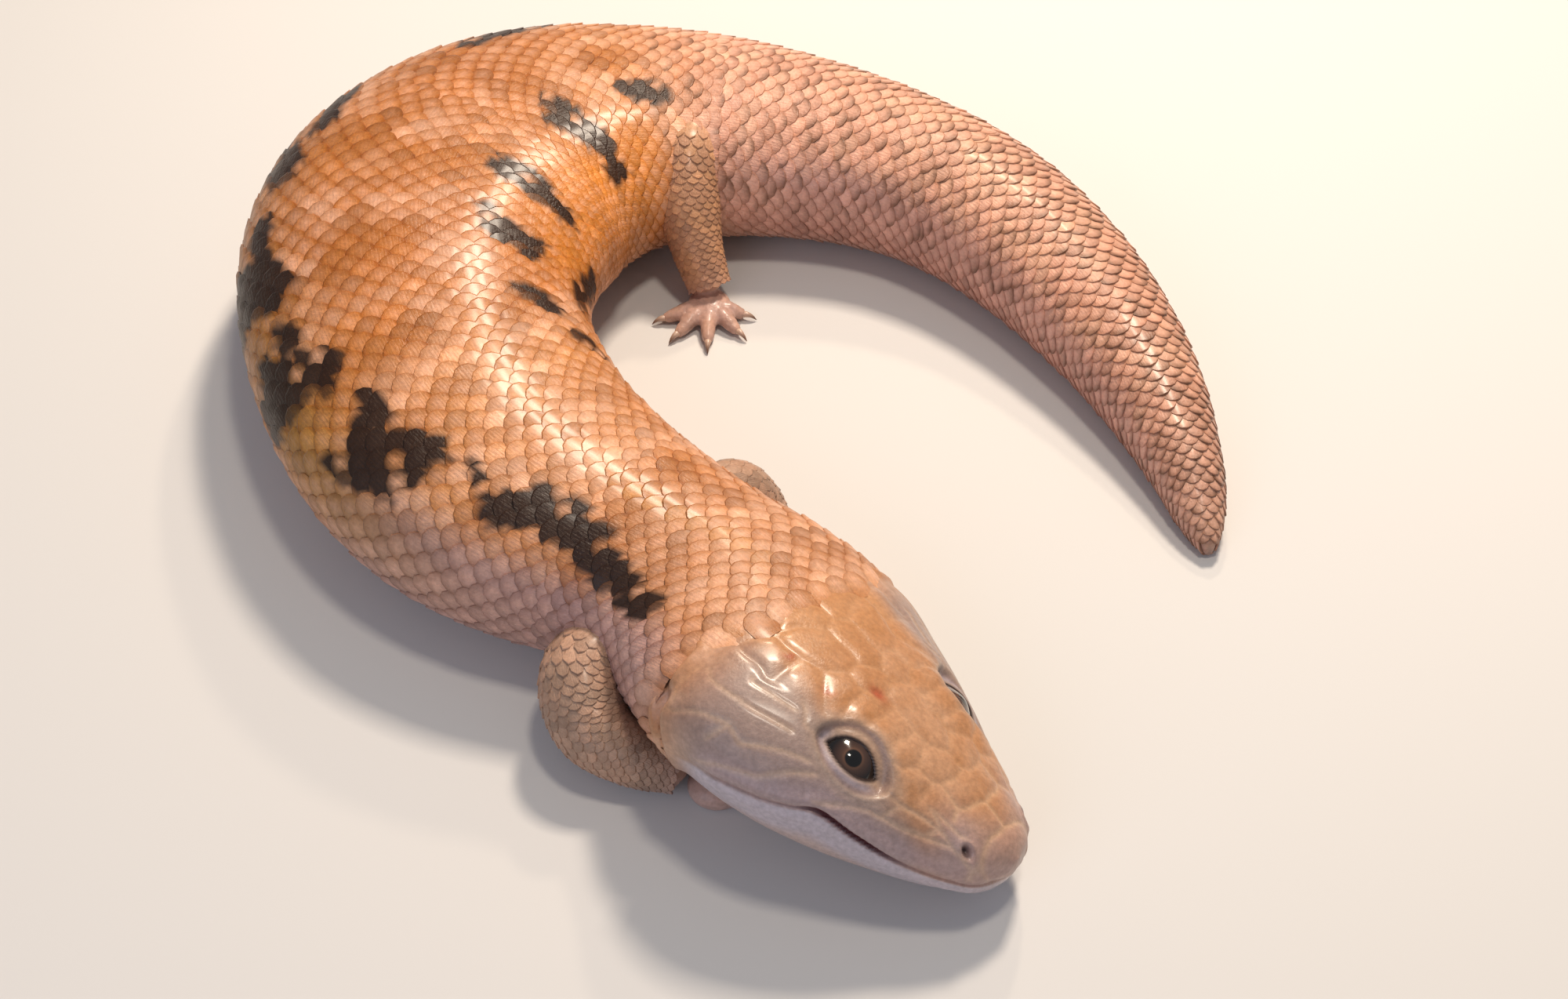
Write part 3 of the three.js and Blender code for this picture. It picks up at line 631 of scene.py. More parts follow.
class Markings:
    """The animal's colours at any point of its skin, the same for skin and scales."""

    # Dark blotches: two ends as (station, arc), and a radius.
    BLOTCHES = (
        (72, 20, 80, 17, 2.6), (80, 16.6, 92, 13.4, 3.1), (92, 12.6, 104, 11.8, 3.9),
        (104, 14.2, 109, 15.8, 2.9), (115, 13.5, 118, 13, 0.9), (125, 14.5, 126, 25, 2.5),
        (127, 18.5, 133, 23.5, 3.3), (131, 26, 134, 30, 2.2), (135, 18, 138, 18, 2.2),
        (148, 21.5, 150, 27, 3.0), (150, 27, 154, 34, 4.2), (149, 30, 151, 39, 3.6),
        (156, 27, 158, 28, 2.2), (168, 27, 169, 46, 3.2), (172, 31, 173, 46, 4.0),
        (176, 31, 182, 33, 2.0), (192, 31, 198, 38, 3.8), (204, 28, 210, 33, 2.9),
        (231, 23.5, 240, 28, 4.0), (226, -15, 231, -20, 2.8), (230, -10, 232, -21, 3.4),
        (232, -17, 238, -24, 4.2), (236, -30, 242, -29, 2.6), (252, -9, 258, -9, 2.4),
        (187, -33, 192, -27, 3.0), (192, -26, 197, -18, 4.0), (196, -25, 199, -18, 3.0),
        (167, -25, 172, -20, 3.4), (170, -21, 177, -17, 2.8), (144, -26, 150, -21, 2.6),
        # The three marks on the line below darken the left side low down, by the belly.
        (128, -31, 133, -28, 1.8), (152, -36, 162, -39, 2.0), (165, -42, 174, -45, 3.0),
    )
    # The back's colour along the body, and the stations of its golden bands.
    GROUND = (
        (50, "BC865C"), (66, "C2885C"), (95, "C88A58"), (125, "C98644"), (150, "BE7428"),
        (170, "B2681E"), (190, "BA722A"), (225, "B26C28"), (250, "C6844A"), (275, "DEA48E"),
        (300, "DAA28A"), (350, "D09A82"), (400, "C48E76"), (434, "A87A66"),
    )
    GOLD_BANDS = ((90, 6), (120, 8), (144, 8), (169, 10), (196, 10), (222, 9), (247, 8))
    # Small red marks of the crown, as station, arc and radius.
    MARKS = ((31, 4.9, 1.6), (36, 12.3, 1.1), (45, 13.3, 1.2))

    def __init__(self, form: BodyForm) -> None:
        """Keeps the body's girth, and draws the noise that the markings wander by."""
        self.form = form
        self.broad, self.fine = Mottle(SEED), Mottle(SEED + 1)

    def body(self, s: Array, q: Array) -> Array:
        """Colours of the neck, torso and tail.

        Args:
            s: Stations.
            q: Arc distances from the midline of the back.

        Returns:
            Linear colours, one row a point.
        """
        share = np.abs(q) / self.form.half(s, q)
        fine = self.fine.at(s, q, 5.0)
        right = ramp(-4, 6, q)
        tail = ramp(262, 300, s)
        table = np.array([linear(code) for _, code in self.GROUND])
        stops = [at for at, _ in self.GROUND]
        colour = np.stack([np.interp(s, stops, table[:, i]) for i in range(3)], -1)
        gold = self.gold(s, q)
        neck = ramp(58, 66, s) * (1 - ramp(92, 104, s))
        shoulder = ramp(54, 64, s) * (1 - ramp(122, 146, s))
        flank = ramp(146, 176, s) * (1 - ramp(250, 270, s)) * bump(share - 0.36, 0.17)
        return layered(
            colour,
            ("A4601A", 0.68 * gold),
            ("A8662C", 0.45 * ramp(0.5, 0.66, fine) * (1 - 0.7 * tail)),
            ("E2B090", 0.55 * ramp(0.5, 0.66, 1 - fine) * (1 - 0.8 * gold)),
            # The stripe down the nape, then the mauve, yellow and amber of the right side; the mauve
            # is the side's own colour darkened with painted shade.
            ("B87A2A", 0.7 * bump(np.abs(q), 1.7) * neck),
            ("A98887", 0.88 * right * ramp(0.27, 0.38, share) * shoulder),
            ("A87A22", 0.8 * right * bump(s - 142, 26) * bump(np.abs(q) - 34, 9)),
            ("A66C22", 0.75 * right * bump(s - 200, 55) * bump(share - 0.46, 0.16)),
            # The orange flank inside the bend, and the tail's pink side and its rim.
            ("E08A28", 0.85 * (1 - right) * flank),
            ("CF9F94", 0.8 * (1 - right) * tail * ramp(0.22, 0.42, share)),
            ("8A4A38", 0.5 * (1 - right) * tail * bump(share - 0.62, 0.1)),
            # The belly, and the tail's tip.
            ("C2A294", 0.85 * ramp(0.58, 0.78, share)),
            ("C79A86", 0.5 * ramp(396, 424, s)),
        )

    def gold(self, s: Array, q: Array) -> Array:
        """How golden a point is, from 0 to 1: broken bands over the back."""
        share = np.abs(q) / self.form.half(s, q)
        wave = s + 5 * (self.broad.at(s + 20, q, 22.0) - 0.5)
        bands = np.clip(sum(bump(wave - at, wide) for at, wide in self.GOLD_BANDS), 0, 1)
        patches = ramp(0.4, 0.58, self.broad.at(s, q, 10.0))
        return bands * patches * (1 - ramp(0.4, 0.56, share))

    def blotch(self, s: Array, q: Array) -> Array:
        """How far a point lies in a dark blotch, from 0 to 1."""
        ragged = 5.0 * (self.fine.at(s + 90, q - 40, 2.6) - 0.5)
        ragged = ragged + 1.6 * (self.broad.at(s, q, 9.0) - 0.5)
        total = np.zeros(np.broadcast(s, q).shape)
        for s0, q0, s1, q1, reach in self.BLOTCHES:
            d = to_path(s, q, ((s0, q0), (s1, q1))) + ragged
            total = np.maximum(total, 1 - ramp(reach + 0.1, reach + 1.1, d))
        return total

    def stain(self, colour: Array, dark: Array) -> Array:
        """Darkens colours to the blotches' near black."""
        return mix(colour, linear("1C0C06"), 0.96 * dark)

    def head(self, head: HeadForm) -> Array:
        """Colours of the head's skin, by its measured features."""
        s, far, q = head.s, head.far, head.q
        broad = self.broad.at(s + 40, q, 9.0)
        fine = self.fine.at(s, q + 60, 2.6)
        crown, seam_shows = head.crown_share(), ramp(3, 5, head.slit)
        cheek = (1 - crown) * ramp(0.6, 1.6, head.mouth)
        gap = head.in_mouth * (1 - ramp(0.1, 0.55, np.abs(head.mouth) - head.parted()))
        spots = [
            ("A3442A", 0.8 * bump(np.hypot(s - at, q - arc), reach) * ramp(0.35, 0.6, fine))
            for at, arc, reach in self.MARKS
        ]
        return layered(
            linear("BC8E6C"),
            ("AF7646", ramp(0.42, 0.68, broad) * 0.55),
            ("9C6634", 0.3 * ramp(0.52, 0.75, fine)),
            ("C48C5A", 0.6 * ramp(36, 54, s)),
            # The grey side, the lips, the nose, the lower jaw, the throat and the neck.
            (
                mix(linear("998682"), linear("958076"), broad),
                0.9 * ramp(12.5, 19, far) * ramp(6, 14, s),
            ),
            ("AC9698", 0.7 * bump(head.mouth - 2.2, 2.6) * (1 - ramp(42, 48, s))),
            ("A99698", 0.8 * bump(np.hypot(s - 6, far - 10), 5)),
            ("BDB3BB", 0.85 * ramp(0.2, 0.8, -head.mouth) * (1 - ramp(44, 52, s))),
            ("BA9E90", 0.75 * ramp(4, 8, -head.mouth)),
            ("C59C78", 0.55 * ramp(44, 54, s) * ramp(34, 42, far)),
            ("AE8E84", 0.7 * (1 - ramp(1.5, 9, s)) * ramp(-0.5, 0.5, head.mouth)),
            # Pale seams, paler towards the snout, partly their own pale colour and partly painted
            # highlight where their edges catch light, and the red marks.
            ("D2B296", 0.4 * bump(head.cheek_seam, 0.5) * cheek * seam_shows),
            ("D4AE8C", (0.14 + 0.36 * (1 - ramp(8, 16, s))) * bump(head.crown_seam, 0.45) * crown),
            *spots,
            # The lids from outside in: their own colours, painted shade in the crease round them, and
            # near black painted shade on the skin behind the eyeball.
            ("AA9484", 0.6 * (1 - ramp(2.0, 5.0, head.slit))),
            ("A79AA4", 0.7 * bump(head.slit - 1.2, 0.6) * ramp(15.5, 18, far)),
            ("5E4350", 0.35 * bump(head.slit - 1.9, 0.45) * (s < 40)),
            ("1E0F10", 0.95 * (1 - ramp(0.1, 0.6, head.slit))),
            # The line of the mouth darkened with painted shade, its gap the mouth's own dark red
            # deepened with painted shade, and the nostril and the ear painted dark as the shade in
            # their pits.
            ("96716C", 0.4 * gap),
            ("581A22", 0.95 * gap * head.gaping() * np.where(q > 0, 1, 0.5)),
            ("3A2426", 0.85 * bump(head.nostril, 0.7)),
            ("5A3A30", 0.6 * bump(head.ear, 0.9)),
        )

    def limb(self, point: Array, share: Array, pale: bool) -> Array:
        """Colours of a limb.

        Args:
            point: The points, in millimetres.
            share: How far along the limb, 0 at the body and 1 at the wrist or ankle.
            pale: True for the hind legs, which are more mauve.

        Returns:
            Linear colours.
        """
        fine = self.fine.at(point[..., 0], point[..., 1] + point[..., 2], 4.0)
        light, dark = ("CE9A72", "B88A6C") if pale else ("BC967E", "A68874")
        return layered(
            linear(light),
            (dark, ramp(0.35, 0.65, fine)),
            ("C09A90", 0.6 * ramp(0.8, 1.15, share)),
            ("C3A49A", 0.5 * (1 - ramp(1.5, 7, point[..., 2]))),
        )


@dataclass
class MeshArrays:
    """A mesh as arrays, in millimetres, before it becomes an object."""

    points: Array
    faces: Array
    colours: Array
    maps: dict[str, Array] = field(default_factory=dict)


def joined(parts: list[MeshArrays]) -> MeshArrays:
    """Puts meshes one after another in one mesh.

    Args:
        parts: The meshes, which all have the first one's maps.

    Returns:
        The mesh, with four columns of corners and -1 for a corner that isn't there.
    """
    faces, count = [], 0
    for part in parts:
        none = np.full((len(part.faces), 4 - part.faces.shape[1]), -1)
        shifted = np.where(part.faces >= 0, part.faces + count, -1)
        faces.append(np.concatenate([shifted, none], axis=1))
        count += len(part.points)
    maps = {label: np.vstack([part.maps[label] for part in parts]) for label in parts[0].maps}
    points, colours = (np.vstack([getattr(p, name) for p in parts]) for name in ("points", "colours"))
    return MeshArrays(points, np.vstack(faces), colours, maps)


def deselect() -> None:
    """Leaves edit mode and deselects everything."""
    if bpy.context.mode != "OBJECT":
        bpy.ops.object.mode_set(mode="OBJECT")
    bpy.ops.object.select_all(action="DESELECT")


def make_object(name: str, arrays: MeshArrays) -> bpy.types.Object:
    """Makes an object at the origin from arrays.

    Args:
        name: The piece's name.
        arrays: Points, faces of three or four corners, point colours and corner maps.

    Returns:
        The object, shaded smooth.
    """
    mesh = bpy.data.meshes.new(name)
    sizes = (arrays.faces >= 0).sum(axis=1)
    corners = arrays.faces[arrays.faces >= 0]
    mesh.vertices.add(len(arrays.points))
    mesh.vertices.foreach_set("co", (arrays.points * MM).astype(np.float32).ravel())
    mesh.loops.add(len(corners))
    mesh.loops.foreach_set("vertex_index", corners.astype(np.int32))
    mesh.polygons.add(len(sizes))
    starts = np.concatenate([[0], np.cumsum(sizes)[:-1]])
    mesh.polygons.foreach_set("loop_start", starts.astype(np.int32))
    mesh.polygons.foreach_set("use_smooth", np.ones(len(sizes), bool))
    mesh.update(calc_edges=True)
    mesh.validate()
    tone = mesh.color_attributes.new(name="Tone", type="FLOAT_COLOR", domain="POINT")
    full = np.concatenate([arrays.colours, np.ones((len(arrays.colours), 1))], axis=1)
    tone.data.foreach_set("color", full.astype(np.float32).ravel())
    for label, values in arrays.maps.items():
        layer = mesh.uv_layers.new(name=label)
        layer.data.foreach_set("uv", values.astype(np.float32).ravel())
    made = bpy.data.objects.new(name, mesh)
    bpy.context.collection.objects.link(made)
    return made


def arrays_of(piece: bpy.types.Object) -> tuple[Array, Array]:
    """Points in millimetres and triangles of an object's mesh."""
    mesh = piece.data
    mesh.calc_loop_triangles()
    points = np.empty(len(mesh.vertices) * 3, np.float32)
    mesh.vertices.foreach_get("co", points)
    faces = np.empty(len(mesh.loop_triangles) * 3, np.int32)
    mesh.loop_triangles.foreach_get("vertices", faces)
    return points.reshape(-1, 3).astype(float) / MM, faces.reshape(-1, 3)


def apply_modifier(piece: bpy.types.Object, kind: str, **settings: object) -> None:
    """Adds a modifier, sets it and applies it.

    Args:
        piece: The object.
        kind: Blender's name of the modifier's kind.
        settings: The modifier's own settings.
    """
    deselect()
    piece.select_set(True)
    bpy.context.view_layer.objects.active = piece
    modifier = piece.modifiers.new(kind.title(), kind)
    for label, value in settings.items():
        setattr(modifier, label, value)
    bpy.ops.object.modifier_apply(modifier=modifier.name)


def grid_faces(rows: int, columns: int, closed: bool) -> Array:
    """Faces of a grid of points, row by row.

    Args:
        rows: Rows of points.
        columns: Points in a row.
        closed: Whether each row joins its own start.

    Returns:
        The faces, four corners each.
    """
    across = columns if closed else columns - 1
    r, k = np.meshgrid(np.arange(rows - 1), np.arange(across), indexing="ij")
    after = (k + 1) % columns
    a, b = r * columns + k, r * columns + after
    return np.stack([a, a + columns, b + columns, b], -1).reshape(-1, 4)


def fan(middle: int, ring: Array, turned: bool = False) -> Array:
    """Triangles from a middle point to a closed ring of points, turned over if asked."""
    a, b = (np.roll(ring, -1), ring) if turned else (ring, np.roll(ring, -1))
    return np.stack([np.full(len(ring), middle), a, b, np.full(len(ring), -1)], -1)


class Shader:
    """A material in the making: a Principled surface and the nodes that feed it."""

    def __init__(self, name: str) -> None:
        """Starts the material with its surface and output."""
        self.material = bpy.data.materials.new(name)
        self.material.use_nodes = True
        self.tree = self.material.node_tree
        self.tree.nodes.clear()
        self.surface = self.add("ShaderNodeBsdfPrincipled")
        self.add("ShaderNodeOutputMaterial", Surface=self.surface.outputs["BSDF"])
        self.place = self.add("ShaderNodeTexCoord").outputs["Object"]

    def add(self, kind: str, settings: dict | None = None, **inputs: object) -> bpy.types.Node:
        """Adds a node.

        Args:
            kind: Blender's name of the node.
            settings: The node's own properties.
            inputs: Values or output sockets by the input's name, or in0, in1 by number.

        Returns:
            The node.
        """
        node = self.tree.nodes.new(kind)
        for label, value in (settings or {}).items():
            setattr(node, label, value)
        self.feed(node, inputs)
        return node

    def feed(self, node: bpy.types.Node, inputs: dict) -> None:
        """Sets or links a node's sockets, named with _ for a space, or in0 for a number."""
        for label, value in inputs.items():
            number = label[2:] if label.startswith("in") and label[2:].isdigit() else None
            socket = node.inputs[int(number)] if number else node.inputs[label.replace("_", " ")]
            if isinstance(value, bpy.types.NodeSocket):
                self.tree.links.new(value, socket)
            else:
                socket.default_value = value

    def set(self, **inputs: object) -> None:
        """Sets or links the surface's own sockets by name."""
        self.feed(self.surface, inputs)

    def tone(self) -> bpy.types.NodeSocket:
        """The colour that the mesh holds at each point."""
        return self.add("ShaderNodeAttribute", {"attribute_name": "Tone"}).outputs["Color"]

    def noise(self, size_mm: float, detail: float = 2.0) -> bpy.types.NodeSocket:
        """Noise whose patches are about so many millimetres across."""
        scale = 1 / (size_mm * MM)
        node = self.add("ShaderNodeTexNoise", Vector=self.place, Scale=scale, Detail=detail)
        return node.outputs["Fac"]

    def spread(self, noise: bpy.types.NodeSocket, low: float, high: float) -> bpy.types.NodeSocket:
        """Spreads the middle range of a noise from low to high."""
        ends = {"From_Min": 0.3, "From_Max": 0.7, "To_Min": low, "To_Max": high}
        return self.add("ShaderNodeMapRange", Value=noise, **ends).outputs["Result"]

    def emboss(self, height: bpy.types.NodeSocket, strength: float, high_mm: float) -> None:
        """Gives the surface a fine relief, so many millimetres high at full strength."""
        relief = self.add("ShaderNodeBump", Strength=strength, Distance=high_mm * MM, Height=height)
        self.set(Normal=relief.outputs["Normal"])


@dataclass(frozen=True)
class KeratinFinish:
    """Reptile skin: a thin clear layer of keratin over coloured skin.

    It gives the eye a soft wet gloss over warm mottled colour, with fine lines that run
    along each scale and faint pores on bare skin.
    """

    STRIAE_SCALE = (1.6, 11.0, 1.0)
    name: str
    roughness: float = 0.44
    coat: float = 0.16
    striae: bool = False
    pore_mm: float = 0.6
    relief: float = 0.25

    def make(self) -> bpy.types.Material:
        """Builds the material.

        Returns:
            The material.
        """
        shader = Shader(self.name)
        shade = shader.spread(shader.noise(0.9, 3.0), 0.86, 1.12)
        tinted = shader.add("ShaderNodeMix", {"data_type": "RGBA", "blend_type": "MULTIPLY"})
        tinted.inputs["Factor"].default_value = 1.0
        shader.tree.links.new(shader.tone(), tinted.inputs["A"])
        shader.tree.links.new(shade, tinted.inputs["B"])
        rough = shader.spread(shader.noise(3), self.roughness - 0.08, self.roughness + 0.1)
        height = shader.noise(self.pore_mm, 3.0)
        if self.striae:
            own = shader.add("ShaderNodeUVMap", {"uv_map": "Scale"}).outputs["UV"]
            lines = shader.add("ShaderNodeMapping", Vector=own)
            lines.inputs["Scale"].default_value = self.STRIAE_SCALE
            lines = lines.outputs["Vector"]
            ridges = shader.add("ShaderNodeTexNoise", Vector=lines, Scale=1.0, Detail=2.0)
            ridges = ridges.outputs["Fac"]
            both = shader.add("ShaderNodeMath", {"operation": "ADD"}, in0=ridges, in1=height)
            height = both.outputs["Value"]
        shader.emboss(height, self.relief, 0.35)
        shader.set(
            Base_Color=tinted.outputs["Result"],
            Roughness=rough,
            Specular_IOR_Level=0.26,
            Coat_Weight=self.coat,
            Coat_Roughness=0.19,
            Subsurface_Weight=0.06,
            Subsurface_Radius=(1.0, 0.45, 0.3),
            Subsurface_Scale=0.0012,
        )
        return shader.material


@dataclass(frozen=True)
class EyeFinish:
    """A wet eye: dark brown iris round a black pupil under a clear cornea.

    It gives the eye one sharp highlight on near black, with a warm ring just inside.
    """

    name: str
    centre: tuple
    facing: tuple
    pupil_mm: float = 1.5
    iris_mm: float = 3.3
    reach_mm: float = 4.4
    dome_mm: float = 0.2

    def make(self) -> bpy.types.Material:
        """Builds the material."""
        shader = Shader(self.name)
        rise = (EYE["ball"] + self.dome_mm) * MM
        tip = tuple(c + f * rise for c, f in zip(self.centre, self.facing))
        away = shader.add("ShaderNodeVectorMath", {"operation": "DISTANCE"}, in0=shader.place, in1=tip)
        away = away.outputs["Value"]
        ring = shader.add("ShaderNodeMapRange", Value=away, From_Max=self.reach_mm * MM)
        bands = shader.add("ShaderNodeValToRGB", Fac=ring.outputs["Result"])
        edge = self.pupil_mm / self.reach_mm
        stops = (
            (0.0, "040303"), (edge - 0.03, "050404"), (edge + 0.03, "5C4030"),
            (edge + 0.14, "463026"), (self.iris_mm / self.reach_mm, "2C1C16"), (0.92, "0E0807"),
        )
        elements = bands.color_ramp.elements
        while len(elements) < len(stops):
            elements.new(0.5)
        for element, (at, code) in zip(elements, stops):
            element.position, element.color = at, rgba(code)
        shader.set(Base_Color=bands.outputs["Color"], Roughness=0.12, IOR=1.38)
        shader.set(Coat_Weight=1.0, Coat_Roughness=0.02)
        return shader.material


@dataclass(frozen=True)
class ClawFinish:
    """Claw horn: dense keratin, pale at the root and dark towards the point.

    It gives the eye a smooth satin hook with faint streaks along it.
    """

    name: str = "claw_horn"

    def make(self) -> bpy.types.Material:
        """Builds the material."""
        shader = Shader(self.name)
        shader.emboss(shader.noise(0.5), 0.2, 0.1)
        shader.set(Base_Color=shader.tone(), Roughness=0.32, IOR=1.54)
        return shader.material


@dataclass(frozen=True)
class FloorFinish:
    """Studio backdrop paper: matt, pale and even."""

    name: str = "backdrop_paper"
    colour: str = "D6D4D2"

    def make(self) -> bpy.types.Material:
        """Builds the material."""
        shader = Shader(self.name)
        shader.emboss(shader.noise(1.5), 0.03, 0.1)
        shader.set(Base_Color=rgba(self.colour), Roughness=0.9)
        return shader.material


@dataclass
class Foot:
    """A palm with five spread toes and their claws, flat on the floor."""

    x: float
    y: float
    heading: float
    toes: tuple
    reach: tuple
    ripple: float = 0.12
    toe_radius: float = 1.75
    toe_tip: float = 1.15
    claw_radius: float = 0.78
    palm: tuple = (5.4, 4.9, 3.1)

    def spot(self, toe: int, d: float, z: float) -> tuple:
        """A point over a toe's line, by its distance from the middle of the palm."""
        turn = math.radians(self.heading + self.toes[toe])
        return (self.x + math.cos(turn) * d, self.y + math.sin(turn) * d, z)

    def tubes(self, line: object, radii: tuple) -> list[TubeForm]:
        """A tube over each toe's line.

        Args:
            line: A function from a toe's reach to the (distance, height) points.
            radii: The tube's radius at each point.

        Returns:
            The tubes, in the order of the toes.
        """
        return [
            TubeForm(tuple(self.spot(i, d, z) for d, z in line(reach)), radii)
            for i, reach in enumerate(self.reach)
        ]

    def toe_tubes(self) -> list[TubeForm]:
        """The toes, low and a little arched."""
        root = self.toe_radius
        return self.tubes(
            lambda r: ((1.5, 2.2), (r * 0.45, 2.5), (r * 0.72, 1.9), (r + 0.2, 1.3)),
            (root, root, root * 0.94, self.toe_tip),
        )

    def claw_tubes(self) -> list[TubeForm]:
        """The claws as thin bent tubes that start inside the toe tips."""
        root = self.claw_radius
        return self.tubes(
            lambda r: ((r - 0.5, 1.3), (r + 1.0, 1.55), (r + 2.2, 1.2), (r + 3.1, 0.45)),
            (root, root * 0.85, root * 0.5, 0.08),
        )


def tube_mesh(
    tube: TubeForm, rows: int, columns: int, ripple: float = 0.0, shrink: float = 0.0
) -> tuple[Array, Array]:
    """A closed tube.

    Args:
        tube: The form.
        rows: Rings along it.
        columns: Points round it.
        ripple: Height of the low cross ridges, one every RIPPLE_PITCH.
        shrink: How far the surface lies inside the form.

    Returns:
        Points and faces.
    """
    s = np.linspace(0, tube.length, rows)
    turn = np.arange(columns) * 2 * math.pi / columns
    ss, tt = np.meshgrid(s, turn, indexing="ij")
    lift = ripple * np.cos(2 * math.pi * ss / RIPPLE_PITCH) - shrink
    points = tube.place(ss, tt * tube.radius(ss), lift).reshape(-1, 3)
    ends = np.array([-0.1 * tube.table[0][1], tube.length + 0.5 * tube.table[-1][1]])
    points = np.vstack([points, tube.centre(ends)])
    points[:, 2] = np.maximum(points[:, 2], FLOOR_GAP)
    count, ring = rows * columns, np.arange(columns)
    first, last = fan(count, ring), fan(count + 1, count - columns + ring, turned=True)
    return points, np.vstack([grid_faces(rows, columns, True), first, last])


@dataclass
class Limb:
    """A leg from inside the body to its toes."""

    name: str
    path: tuple
    radii: tuple
    foot: Foot
    nodes: tuple
    hind: bool = False
    inset: float = 0.3
    voxel_mm: float = 0.55
    foot_reach: float = 6.5

    def __post_init__(self) -> None:
        """Measures the limb."""
        self.form = TubeForm(self.path, self.radii)

    def flesh(self) -> tuple[Array, Array]:
        """Fuses the leg, palm and toes to one surface.

        Returns:
            Points in millimetres and triangles.
        """
        deselect()
        x, y = self.foot.x + OFFSET[0], self.foot.y + OFFSET[1]
        bpy.ops.mesh.primitive_uv_sphere_add(
            segments=48,
            ring_count=24,
            radius=MM,
            location=(x * MM, y * MM, self.foot.palm[2] * 0.6 * MM),
            rotation=(0, 0, math.radians(self.foot.heading)),
            scale=self.foot.palm,
        )
        whole = bpy.context.object
        bpy.ops.object.transform_apply(location=True, rotation=True, scale=True)
        tubes = [tube_mesh(self.form, 70, 40, shrink=self.inset)]
        tubes += [tube_mesh(tube, 40, 20, self.foot.ripple) for tube in self.foot.toe_tubes()]
        made = [make_object("part", MeshArrays(p, f, np.ones((len(p), 3)))) for p, f in tubes]
        deselect()
        for piece in (*made, whole):
            piece.select_set(True)
        bpy.context.view_layer.objects.active = whole
        bpy.ops.object.join()
        apply_modifier(whole, "REMESH", mode="VOXEL", voxel_size=self.voxel_mm * MM)
        apply_modifier(whole, "SMOOTH", factor=0.5, iterations=3)
        apply_modifier(whole, "DECIMATE", ratio=0.42)
        points, faces = arrays_of(whole)
        bpy.data.objects.remove(whole)
        points[:, 2] = np.maximum(points[:, 2], FLOOR_GAP)
        return points, faces

    def share_along(self, points: Array) -> Array:
        """How far along the leg each point lies, over 1 on the foot."""
        line = self.form.line[::4]
        runs = self.form.runs[::4]
        nearest = np.argmin(((points[:, None] - line[None]) ** 2).sum(-1), axis=1)
        foot = np.array([self.foot.x + OFFSET[0], self.foot.y + OFFSET[1], 2.0])
        past = np.linalg.norm(points - foot, axis=1) < self.foot_reach
        return np.where(past, 1.2, runs[nearest] / self.form.length)


